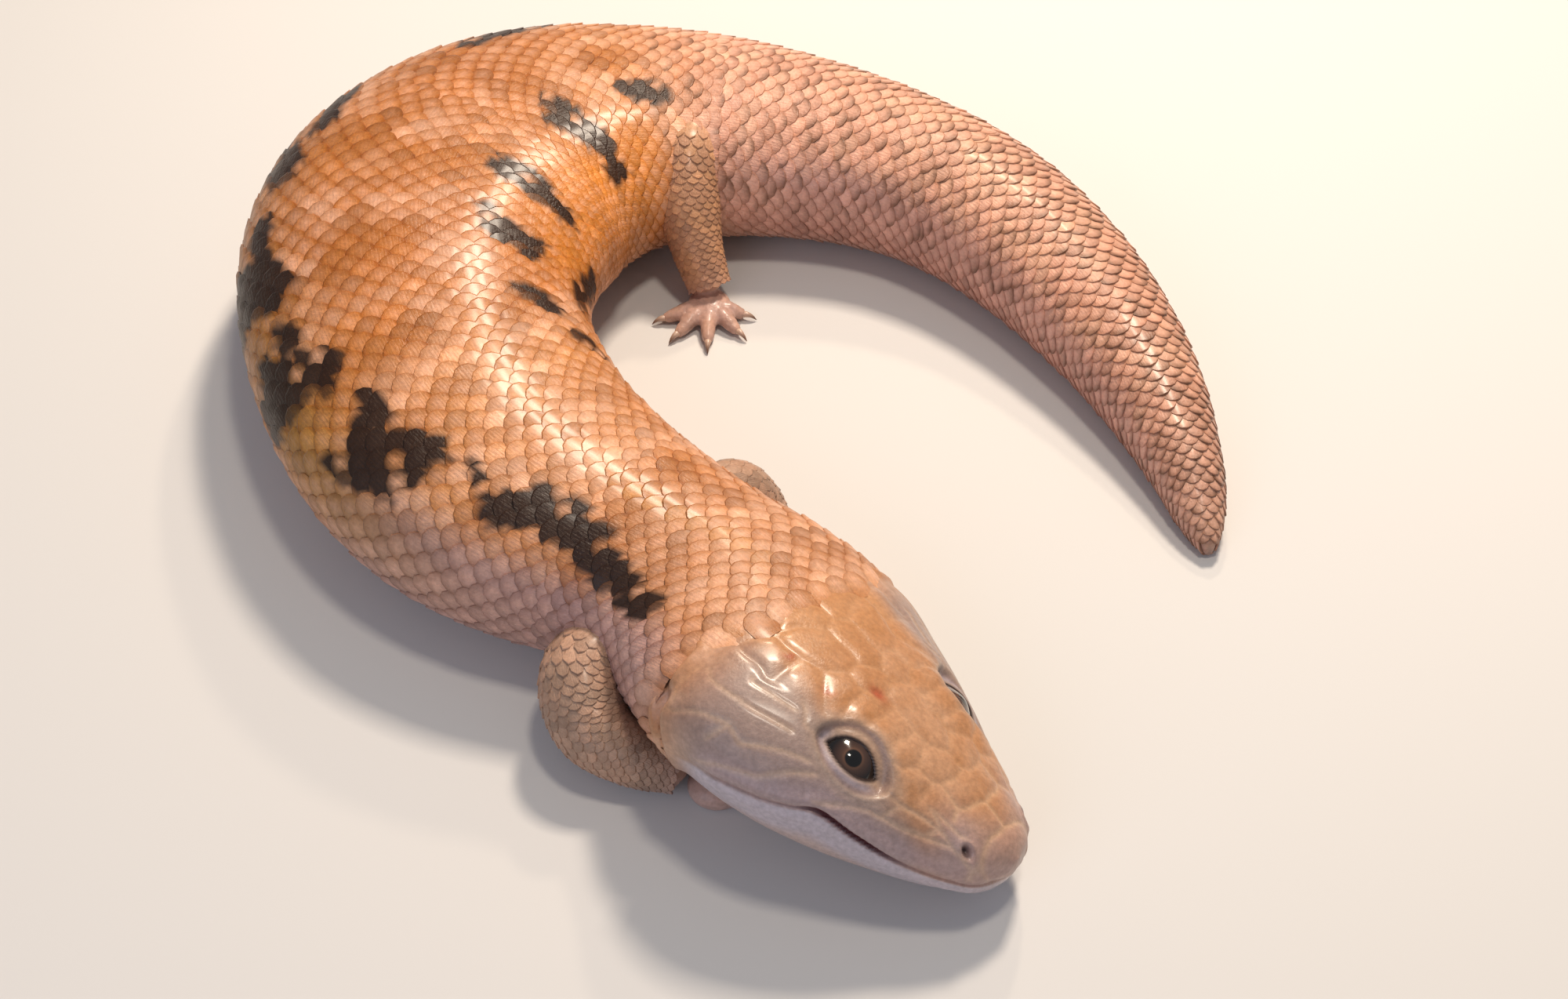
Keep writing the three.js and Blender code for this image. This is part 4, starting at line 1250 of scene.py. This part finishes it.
@dataclass
class Skin:
    """The one skin: head, neck, torso, tail and legs.

    On its map the head has the left half and the body the right half, each rolled out
    flat, and the legs stand in a row above them.
    """

    HEAD_MAP = 0.5
    MAP_MIDDLE = 0.38
    MAP_HIGH = 0.36
    LEG_SPAN = 70
    LEG_MAP = (0.78, 0.22)
    form: BodyForm
    markings: Markings
    limbs: tuple
    columns: int = 384
    head_rings: int = 150
    body_step: float = 4.5
    inset: float = 0.55
    tip_inset: float = 0.2
    # The body's skin under the scales is darkened to this share: painted shade under the scales.
    shade: float = 0.72

    def eyeballs(self) -> dict[Side, tuple[Array, Array]]:
        """The middle of each eyeball and the way it faces, square out of the slit."""
        balls = {}
        for side in Side:
            s, q = np.array(EYE_SLIT["s"]), np.array(side.value * EYE_SLIT["q"])
            facing = self.form.normal(s, self.form.angle(s, q))
            spot = self.form.place(s, q, np.array(0.0))
            balls[side] = (spot - facing * (EYE["deep"] + EYE["ball"]), facing)
        return balls

    def rings(self, stations: Array, columns: int) -> tuple[Array, ...]:
        """The plain grid of vertices for some stations.

        Returns:
            Points, stations, arcs, heights over the sections' middle and angles, as grids.
        """
        shares = -1 + 2 * np.arange(columns) / columns
        angles, arcs = [], []
        for station in stations:
            angle, (right, left) = self.form.ring_angles(station, shares)
            angles.append(angle)
            arcs.append(shares * np.where(shares >= 0, right, left))
        angle, q = np.array(angles), np.array(arcs)
        s = np.repeat(stations[:, None], columns, axis=1)
        _, rise = self.form.section(s, angle)
        return self.form.point(s, angle), s, q, rise, angle

    def head(self) -> tuple[Array, Array, Array, Array]:
        """The head's vertices and colours.

        Returns:
            Points, colours, stations and arcs, as flat arrays, ring by ring.
        """
        stations = HEAD_END * np.linspace(0, 1, self.head_rings) ** 1.35
        points, s, q, rise, angle = self.rings(stations, self.columns)
        normal = self.form.normal(s, angle).reshape(-1, 3)
        s, q, rise = (grid.reshape(-1) for grid in (s, q, rise))
        head = HeadForm(s, q, rise)
        height = head.relief() - self.inset * ramp(50, 60, s)
        height *= ramp(0, 0.8, s)
        points = points.reshape(-1, 3) + normal * height[:, None]
        points = head.socket(points, self.eyeballs())
        colours = mix(self.markings.head(head), self.markings.body(s, q), ramp(44, 60, s))
        return points, colours, s, q

    def trunk(self) -> MeshArrays:
        """Head, body and tail as one closed surface, finer on the head.

        Returns:
            The mesh, with half as many columns past the head.
        """
        points, colours, s, q = self.head()
        half = self.columns // 2
        stations = np.arange(HEAD_END + self.body_step, LENGTH, self.body_step)
        stations = np.concatenate([stations[:-1], [430, 432.4, 433.6, LENGTH]])
        rest, bs, bq, _, angle = self.rings(stations, half)
        sunk = np.where(bs < 432, self.inset, self.tip_inset)
        rest = (rest - self.form.normal(bs, angle) * sunk[..., None]).reshape(-1, 3)
        bs, bq = bs.reshape(-1), bq.reshape(-1)
        # The skin under the scales is darkened here as painted shade.
        body_colours = self.markings.body(bs, bq) * self.shade
        body_colours = self.markings.stain(body_colours, self.markings.blotch(bs, bq))
        start, total = len(points), len(points) + len(rest)
        last, k = start - self.columns, np.arange(half)
        a0, a1, a2 = last + 2 * k, last + 2 * k + 1, last + (2 * k + 2) % self.columns
        b0, b1 = start + k, start + (k + 1) % half
        faces = np.vstack([
            grid_faces(self.head_rings, self.columns, True),
            grid_faces(len(stations), half, True) + start,
            np.stack([a0, b0, a1, np.full(half, -1)], -1),
            np.stack([a1, b0, b1, a2], -1),
            fan(total, np.arange(self.columns)),
            fan(total + 1, total - half + k, turned=True),
        ])
        points = np.vstack([points, rest])
        points[:, 2] = np.maximum(points[:, 2], BELLY_GAP)
        ends = [points[: self.columns].mean(axis=0), points[total - half :].mean(axis=0)]
        colours = np.vstack([colours, body_colours])
        s, q = np.concatenate([s, bs, [0, LENGTH]]), np.concatenate([q, bq, [0, 0]])
        return MeshArrays(
            np.vstack([points, ends]),
            faces,
            np.vstack([colours, colours[:1], colours[-1:]]),
            {"OFBake": self.unwrap(s, q, faces)},
        )

    def build(self) -> bpy.types.Object:
        """Builds the skin, the legs as surfaces that pass into the body."""
        parts = [self.trunk()]
        for i, limb in enumerate(self.limbs):
            points, faces = limb.flesh()
            colours = self.markings.limb(points, limb.share_along(points), limb.hind)
            flat = (points[:, :2] - points[:, :2].min(axis=0)) / self.LEG_SPAN
            low, wide = self.LEG_MAP
            spot = np.array([i / len(self.limbs), low]) + flat * wide
            parts.append(MeshArrays(points, faces, colours, {"OFBake": spot[faces.reshape(-1)]}))
            LOG.info("leg %s: %d triangles", limb.name, len(faces))
        return make_object("skin", joined(parts))

    def unwrap(self, s: Array, q: Array, faces: Array) -> Array:
        """The head and body rolled out flat, the head at a larger scale.

        Args:
            s: Stations of the vertices.
            q: Arcs of the vertices.
            faces: The faces' corners.

        Returns:
            A place on the map for each corner.
        """
        used = faces >= 0
        index = np.where(used, faces, 0)
        arc, station = q[index], s[index]
        girth = self.form.half(station, arc)
        share = arc / girth
        span = np.where(used, share, 0)
        wraps = (span.max(axis=1) - span.min(axis=1)) > 1
        share = np.where(wraps[:, None] & (share < -0.5), share + 2, share)
        on_body = (station - HEAD_END) / (LENGTH - HEAD_END)
        u = np.where(
            station < HEAD_END,
            station / HEAD_END * self.HEAD_MAP,
            self.HEAD_MAP + on_body * (1 - self.HEAD_MAP),
        )
        v = self.MAP_MIDDLE + share * girth / 100 * self.MAP_HIGH
        return np.stack([u, v], -1)[used]


@dataclass
class ScaleCoat:
    """Overlapping scales in staggered rings, each raised at its hind edge."""

    # A scale's length and half its width, as shares of the space it has in the rings.
    OVERLAP = 1.38
    HALF_WIDE = 0.56
    # How much of its length the round end takes, and how round it is.
    ROUND_SHARE = 0.44
    ROUNDNESS = 0.95
    # How far places, widths and lifts wander.
    SPOT_JITTER, WIDTH_JITTER, LIFT_JITTER = 0.1, 0.04, 0.17
    # How much of its cell a scale's patch takes on the map for the bake.
    PATCH_SHARE = 0.92
    MAP_RIM = 5

    name: str
    form: BodyForm | TubeForm
    colour: Callable[..., Array]
    start: float
    end: float
    widths: tuple
    lengths: tuple
    rise: float = 0.5
    sunk: float = 0.25
    dome: float = 0.34
    fineness: int = 7
    seed: int = 3
    keep: Callable[[Array, Array], Array] | None = None

    def layout(self) -> tuple[Array, ...]:
        """Where each scale sits: its station, arc, width and length."""
        rows = []
        s, ring = self.start, 0
        while s < self.end:
            width, length = (float(along(table, s)) for table in (self.widths, self.lengths))
            for sign in (1, -1):
                half = float(self.form.half(np.array(s), np.array(sign * 1.0)))
                for j in range(int(half / width + 0.5) + 1):
                    q = sign * (j + 0.5 * (ring % 2)) * width
                    if abs(q) <= half and not (sign < 0 and q == 0):
                        rows.append((s, q, width, length))
            s += length / 2
            ring += 1
        return tuple(np.array(column, float) for column in zip(*rows))

    def build(self) -> bpy.types.Object:
        """Builds the piece.

        Returns:
            The object, with its own map of each scale and its map for the bake.
        """
        places = self.layout()
        if self.keep is not None:
            kept = self.keep(*places[:2])
            places = tuple(column[kept] for column in places)
        s, q, width, length = places
        random = np.random.default_rng(self.seed)
        count, n = len(s), self.fineness
        jitter = random.normal(0, 1, (count, 5))
        s = s + self.SPOT_JITTER * jitter[:, 0]
        q = q + self.SPOT_JITTER * jitter[:, 1]
        u = np.concatenate([np.linspace(0, 0.94, n - 2), [0.985, 1.0]])
        v = np.sin(np.linspace(-1, 1, n) * math.pi / 2)
        uu, vv = (a.reshape(-1) for a in np.meshgrid(u, v, indexing="ij"))
        bend = np.clip(self.form.stretch(s, q) ** -0.5, 0.75, 1.7)
        reach = self.OVERLAP * length * bend
        end = 1 - self.ROUND_SHARE + self.ROUND_SHARE * np.sqrt(1 - self.ROUNDNESS * vv**2)
        ss = s[:, None] + reach[:, None] * (uu * end - 0.5)[None]
        wide = (self.HALF_WIDE * width)[:, None] * vv[None]
        qq = q[:, None] + wide * (1 + self.WIDTH_JITTER * jitter[:, 2:3])
        lift = -self.sunk + (self.rise + self.sunk) * uu**0.85 - self.dome * vv**2
        skirt = np.where(uu > 0.99, self.rise + 0.5 * self.sunk, 0)
        own_lift = 1 + self.LIFT_JITTER * np.clip(jitter[:, 3:4], -2, 2)
        lift = (lift - skirt)[None] * own_lift * (width / width.max())[:, None] ** 0.5
        points = self.form.place(ss, qq, lift).reshape(-1, 3)
        floor = FLOOR_GAP + 0.15 * np.clip(1 - uu, 0, 1)
        points[:, 2] = np.maximum(points[:, 2], np.tile(floor, count))
        template = grid_faces(n, n, False)
        faces = (template[None] + (np.arange(count) * n * n)[:, None, None]).reshape(-1, 4)
        colours = self.colour(s, q, uu, vv, jitter, ss, qq).reshape(-1, 3)
        own = np.stack([uu, (vv + 1) / 2], -1)
        span = max(np.ptp(s), np.abs(q).max() * 2) + 2 * self.MAP_RIM
        half_long, half_wide = (x[:, None] * self.PATCH_SHARE / 2 for x in (length / 2, width))
        u_place = (s - s.min() + self.MAP_RIM)[:, None] + half_long * (2 * uu - 1)[None]
        v_place = (q + np.abs(q).max() + self.MAP_RIM)[:, None] + half_wide * vv[None]
        bake = np.stack([u_place / span, v_place / span], -1)
        maps = {
            "Scale": np.tile(own[template.reshape(-1)], (count, 1)),
            "OFBake": bake[:, template.reshape(-1)].reshape(-1, 2),
        }
        LOG.info("%s: %d scales, %d triangles", self.name, count, 2 * len(faces))
        return make_object(self.name, MeshArrays(points, faces, colours, maps))


# What a colour is multiplied by at a body scale's sides and front, at its hind rim, and
# all round a leg's scale.
EDGE_TINT = np.array([0.72, 0.5, 0.28])
RIM_TINT = np.array([0.5, 0.36, 0.26])
LEG_RIM_TINT = np.array([0.66, 0.55, 0.48])
Paint = Callable[[Array, Array, Array, Array, Array, Array, Array], Array]


def body_scale_colour(markings: Markings) -> Paint:
    """Colouring of the body's scales.

    Args:
        markings: The animal's colours.

    Returns:
        A function that gives each vertex of each scale its colour, from the scales'
        stations and arcs, the vertices' places on a scale (along, then across), five
        random numbers for each scale, and the vertices' stations and arcs.
    """

    def paint(
        s: Array, q: Array, uu: Array, vv: Array, jitter: Array, ss: Array, qq: Array
    ) -> Array:
        """Pale middle, warmer front and sides, brown hind edge, and specks on the tail."""
        own = markings.body(s, q)[:, None, :]
        local = markings.body(ss.reshape(-1), qq.reshape(-1)).reshape(*ss.shape, 3)
        colour = own * 0.7 + local * 0.3
        light, gold = 1 + 0.09 * jitter[:, 4][:, None], markings.gold(s, q)
        edge = ramp(0.5, 1.0, np.abs(vv))[None] * 0.55 + ramp(0.55, 0.15, uu)[None] * 0.45
        edge = edge * (0.55 + 0.45 * gold + 0.15 * jitter[:, 0])[:, None]
        colour = mix(colour, colour * EDGE_TINT, np.clip(edge * 1.2, 0, 1))
        middle = bump(np.hypot((uu - 0.66) / 0.3, vv / 0.55), 1.0)[None]
        pink = 0.46 * (1 - 0.7 * gold)[:, None] * middle
        colour = mix(colour, linear("E4B29A"), pink) * light[..., None]
        dark = markings.blotch(ss.reshape(-1), qq.reshape(-1)).reshape(ss.shape)
        dark = ramp(0.3, 0.7, 0.4 * markings.blotch(s, q)[:, None] + 0.6 * dark)
        spared = (jitter[:, 1] > 1.2)[:, None] * middle
        colour = markings.stain(colour, dark * (1 - 0.9 * spared))
        rim = ramp(0.9, 0.98, uu)[None] * np.ones_like(ss)
        colour = mix(colour, colour * RIM_TINT, 0.6 * rim)
        share = np.abs(q) / markings.form.half(s, q)
        dense = ramp(236, 300, s) * (1 - ramp(0.36, 0.56, share)) * np.where(q > 0, 1.0, 0.7)
        dense = np.maximum(dense, ramp(398, 412, s))
        chance = ramp(0.1, 0.9, jitter[:, 2] + 0.8 * dense - 0.1) * ramp(0, 0.3, dense)
        where = np.maximum(bump(np.abs(vv) - 0.95, 0.42), bump(uu - 0.98, 0.2))[None]
        uneven = 0.6 + 0.4 * np.sin(7 * jitter[:, 3:4] + 3 * vv[None])
        speck = np.clip(chance[:, None] * where * uneven, 0, 1)
        return np.clip(mix(colour, linear("55361F"), speck * 0.75), 0, 1)

    return paint


def limb_scale_colour(markings: Markings, limb: Limb) -> Paint:
    """Colouring of a leg's scales, as the body's, from the leg's own colours."""

    def paint(
        s: Array, q: Array, uu: Array, vv: Array, jitter: Array, ss: Array, qq: Array
    ) -> Array:
        """Greyer middle with a fine dark outline."""
        points = limb.form.place(s, q, np.zeros_like(s))
        own = markings.limb(points, s / limb.form.length, limb.hind)[:, None, :]
        edge = np.maximum(ramp(0.6, 1.0, np.abs(vv)), ramp(0.88, 0.98, uu))
        light = (1 + 0.08 * jitter[:, 4])[:, None, None]
        colour = np.broadcast_to(own, (*ss.shape, 3)) * light
        return np.clip(mix(colour, colour * LEG_RIM_TINT, 0.5 * edge[None] * np.ones_like(ss)), 0, 1)

    return paint


@dataclass
class Eye:
    """An eyeball with a slightly domed cornea, turned as the slit faces."""

    side: Side
    centre: Array
    facing: Array
    cornea_mm: float = 0.25
    cornea_reach_mm: float = 2.6

    def build(self) -> bpy.types.Object:
        """Models the ball from a sphere and draws its cornea out."""
        deselect()
        centre = Vector(self.centre * MM)
        facing = Vector(self.facing).normalized()
        turn = facing.to_track_quat("Z", "Y").to_euler()
        bpy.ops.mesh.primitive_uv_sphere_add(
            segments=64, ring_count=48, radius=EYE["ball"] * MM, location=centre, rotation=turn
        )
        ball = bpy.context.object
        ball.name = ball.data.name = "eyeball_" + self.side.name.lower()
        bpy.ops.object.transform_apply(location=True, rotation=True, scale=True)
        bpy.ops.object.mode_set(mode="EDIT")
        bpy.ops.mesh.select_all(action="DESELECT")
        bpy.ops.object.mode_set(mode="OBJECT")
        for vertex in ball.data.vertices:
            vertex.select = (vertex.co - centre).normalized().dot(facing) > 0.999
        bpy.ops.object.mode_set(mode="EDIT")
        bpy.ops.transform.translate(
            value=facing * self.cornea_mm * MM,
            use_proportional_edit=True,
            proportional_edit_falloff="SMOOTH",
            proportional_size=self.cornea_reach_mm * MM,
        )
        bpy.ops.object.mode_set(mode="OBJECT")
        bpy.ops.object.shade_smooth()
        finish = EyeFinish("wet_eye_" + self.side.name.lower(), tuple(centre), tuple(facing))
        ball.data.materials.append(finish.make())
        return ball


@dataclass
class ClawSet:
    """The five claws of a foot: hooks that taper to a point."""

    limb: Limb

    def build(self) -> bpy.types.Object:
        """Builds the claws as one piece."""
        parts = []
        for tube in self.limb.foot.claw_tubes():
            points, faces = tube_mesh(tube, 14, 14)
            share = np.clip(np.linalg.norm(points - tube.line[0], axis=1) / tube.length, 0, 1)
            colours = mix(linear("C9A994"), linear("6B4A38"), ramp(0.3, 0.95, share))
            parts.append(MeshArrays(points, faces, colours))
        return make_object("claws_" + self.limb.name, joined(parts))


# Each light's name, place in metres, side in metres, power in watts and colour: a warm key
# and a small glint behind the animal, a second above it, and a cool fill in front.
LIGHTS = (
    ("key", (0.16, 0.34, 0.62), 0.1, 4.7, "FFEEDA"),
    ("second", (0.1, -0.05, 0.7), 0.08, 1.3, "FFF2E2"),
    ("glint", (0.1, 0.4, 0.38), 0.03, 0.7, "FFE9CC"),
    ("fill", (-0.35, -0.55, 0.35), 0.5, 1.1, "DCE4FF"),
)


@dataclass
class Studio:
    """The floor, the lights and the camera."""

    distance: float = 0.4218
    elevation: float = 48.5
    lens: float = 48.0
    sky: str = "E9ECF2"
    sky_strength: float = 0.3
    aim: tuple = (OFFSET[0] * MM, OFFSET[1] * MM, 0.0)

    def camera(self) -> None:
        """Places the camera as the photograph's was."""
        tilt = math.radians(self.elevation)
        data = bpy.data.cameras.new("camera")
        data.lens, data.sensor_width = self.lens, 36.0
        data.clip_start = 0.01
        camera = bpy.data.objects.new("camera", data)
        camera.location = (
            self.aim[0],
            self.aim[1] - self.distance * math.cos(tilt),
            self.aim[2] + self.distance * math.sin(tilt),
        )
        camera.rotation_euler = Euler((math.pi / 2 - tilt, 0, 0))
        bpy.context.collection.objects.link(camera)
        bpy.context.scene.camera = camera

    def floor(self) -> None:
        """Lays the pale floor."""
        deselect()
        bpy.ops.mesh.primitive_plane_add(size=8.0, location=(0, 0, 0))
        floor = bpy.context.object
        floor.name = "floor"
        bpy.ops.object.mode_set(mode="EDIT")
        bpy.ops.mesh.subdivide(number_cuts=6)
        bpy.ops.object.mode_set(mode="OBJECT")
        floor.data.materials.append(FloorFinish().make())

    def light(self, name: str, spot: tuple, size: float, power: float, colour: str) -> None:
        """Hangs a soft square light that faces the animal.

        Args:
            name: The light's name.
            spot: Where it hangs, in metres.
            size: Its side, in metres.
            power: Its power, in watts.
            colour: Its colour, sRGB hex.
        """
        data = bpy.data.lights.new(name, "AREA")
        data.size, data.energy = size, power
        data.color = tuple(linear(colour))
        lamp = bpy.data.objects.new(name, data)
        lamp.location = spot
        lamp.rotation_euler = (-Vector(spot)).to_track_quat("-Z", "Y").to_euler()
        bpy.context.collection.objects.link(lamp)

    def lights(self) -> None:
        """Hangs the lights under a soft sky."""
        for light in LIGHTS:
            self.light(*light)
        bpy.context.scene.view_settings.view_transform = "Standard"
        world = bpy.data.worlds.new("sky")
        world.use_nodes = True
        sky = world.node_tree.nodes["Background"]
        sky.inputs["Color"].default_value = rgba(self.sky)
        sky.inputs["Strength"].default_value = self.sky_strength
        bpy.context.scene.world = world


# Widths and lengths of the body's scales by station.
BODY_WIDTHS = (
    (40, 4.6), (50, 5.0), (100, 4.9), (150, 5.4), (200, 5.8), (250, 5.2), (300, 4.8), (360, 4.4),
    (400, 3.9), (434, 2.4),
)
BODY_LENGTHS = (
    (40, 4.2), (50, 4.4), (100, 4.6), (200, 4.9), (300, 4.4), (380, 3.8), (420, 3.0), (434, 2.2),
)
# The coats of the body, each with its first and last station.
COATS = (
    ("scales_neck", 46, 94),
    ("scales_torso_front", 94, 150),
    ("scales_torso_middle", 150, 212),
    ("scales_torso_rear", 212, 272),
    ("scales_tail_base", 272, 330),
    ("scales_tail", 330, 432.4),
)
LIMBS = (
    Limb(
        "front_right",
        ((-30, -46.5, 15), (-36, -54.5, 14), (-34, -62.5, 9.8), (-27, -67, 7), (-19, -68.8, 5)),
        (7.6, 7.9, 7.4, 5.7, 4.3),
        Foot(-12, -70, -6, (62, 38, 14, -9, -32), (8, 9.4, 10, 9.4, 7.6)),
        ("upper_arm_front_right", "forearm_front_right", "foot_front_right"),
    ),
    Limb(
        "front_left",
        ((-20, -26, 17), (-11, -15, 17), (-6.5, -12.5, 12), (-3, -15, 8), (1.5, -18, 5)),
        (7, 7.6, 7.4, 5.8, 4.2),
        Foot(5, -20, -34, (-40, -16, 8, 34, 60), (7.6, 9, 9.6, 9, 7.4)),
        ("upper_arm_front_left", "forearm_front_left", "foot_front_left"),
    ),
    Limb(
        "hind_left",
        ((-20.5, 87, 21), (-21, 79.5, 25), (-21, 70.5, 20), (-18.8, 62.5, 11.5), (-16.4, 58, 5.4)),
        (9.2, 8.7, 7.4, 5.8, 4.7),
        Foot(-16.4, 54.5, -92, (-70, -38, 2, 44, 78), (9.8, 10, 10, 9.4, 7.6)),
        ("thigh_hind_left", "shank_hind_left", "foot_hind_left"),
        hind=True,
    ),
    Limb(
        "hind_right",
        ((-15, 108, 12), (-9, 119, 10), (2, 124, 7.4), (10, 122.5, 6), (16, 120.5, 4.6)),
        (7.4, 7, 6, 5, 3.9),
        Foot(20, 119.5, -14, (-50, -26, -2, 22, 52), (8, 9, 10, 10, 7.6)),
        ("thigh_hind_right", "shank_hind_right", "foot_hind_right"),
        hind=True,
    ),
)
# The solids of the head, body and tail that the skin stands for.
FLESH = (
    "head", "lower_jaw", "neck", "torso_front", "torso_middle", "torso_rear", "tail_base",
    "tail_middle", "tail_tip",
)


def first_scales(s: Array, q: Array) -> Array:
    """Which scales lie behind the head's shields, which reach back furthest on the cheeks."""
    return s > along(SHIELDS_END, np.abs(q))


def outside(body: BVHTree, limb: Limb) -> Callable[[Array, Array], Array]:
    """Which scales of a leg lie outside the body.

    Args:
        body: The skin's faces.
        limb: The leg.

    Returns:
        A function of distance along the leg and arc.
    """

    def test(s: Array, q: Array) -> Array:
        """True where the scale's middle is clear of the body."""
        points = limb.form.place(s, q, np.full(s.shape, 0.2)) * MM
        kept = []
        for point in points:
            spot, normal, _, _ = body.find_nearest(Vector(point))
            kept.append((Vector(point) - spot).dot(normal) > -0.3 * MM)
        return np.array(kept)

    return test


def body_tree(form: BodyForm) -> BVHTree:
    """The plain body's surface, for the scales of the legs to be tested against."""
    s, shares = np.arange(4, LENGTH, 4.0), np.linspace(-1, 1, 65)[:-1]
    grid_s = np.repeat(s[:, None], len(shares), axis=1)
    q = shares[None] * form.half(grid_s, shares[None] * np.ones_like(grid_s))
    points = form.place(grid_s, q, np.zeros_like(grid_s)).reshape(-1, 3) * MM
    return BVHTree.FromPolygons(points.tolist(), grid_faces(len(s), len(shares), True).tolist())


def finish_piece(piece: bpy.types.Object, material: bpy.types.Material | None) -> None:
    """Dresses a piece and fixes it to the model.

    Args:
        piece: The object.
        material: Its finish, or None where it has one.
    """
    if material is not None:
        piece.data.materials.append(material)
    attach(piece, "root")
    LOG.info("made %s", piece.name)


def main() -> None:
    """Builds the studio, the skin, the scales, the eyes and the claws."""
    logging.basicConfig(level=logging.INFO, format="%(message)s")
    studio = Studio()
    studio.camera()
    studio.floor()
    studio.lights()
    form = BodyForm()
    markings = Markings(form)
    skin = Skin(form, markings, LIMBS)
    hide = skin.build()
    bare = KeratinFinish("bare_reptile_skin", roughness=0.38, coat=0.3, pore_mm=0.5)
    finish_piece(hide, bare.make())
    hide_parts(*FLESH, *(node for limb in LIMBS for node in limb.nodes))
    keratin = KeratinFinish("reptile_scale_keratin", striae=True, relief=0.5).make()
    paint = body_scale_colour(markings)
    for name, start, end in COATS:
        keep = first_scales if name == "scales_neck" else None
        coat = ScaleCoat(name, form, paint, start, end, BODY_WIDTHS, BODY_LENGTHS, keep=keep)
        finish_piece(coat.build(), keratin)
    tree = body_tree(form)
    for limb in LIMBS:
        end = limb.form.length
        widths, lengths = ((0, 3.0), (end, 2.0)), ((0, 2.9), (end, 2.0))
        paint = limb_scale_colour(markings, limb)
        coat = ScaleCoat(
            "scales_" + limb.name, limb.form, paint, 2.0, end - 0.5, widths, lengths,
            rise=0.26, sunk=0.3, dome=0.2, fineness=5, keep=outside(tree, limb),
        )
        finish_piece(coat.build(), keratin)
        claws = ClawSet(limb).build()
        finish_piece(claws, ClawFinish("claw_horn_" + limb.name).make())
        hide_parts(*("claw_%s_%d" % (limb.name, i + 1) for i in range(5)))
    for side, (centre, facing) in skin.eyeballs().items():
        piece = Eye(side, centre, facing).build()
        finish_piece(piece, None)
        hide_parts("eye_" + side.name.lower())


if __name__ == "__main__":
    main()
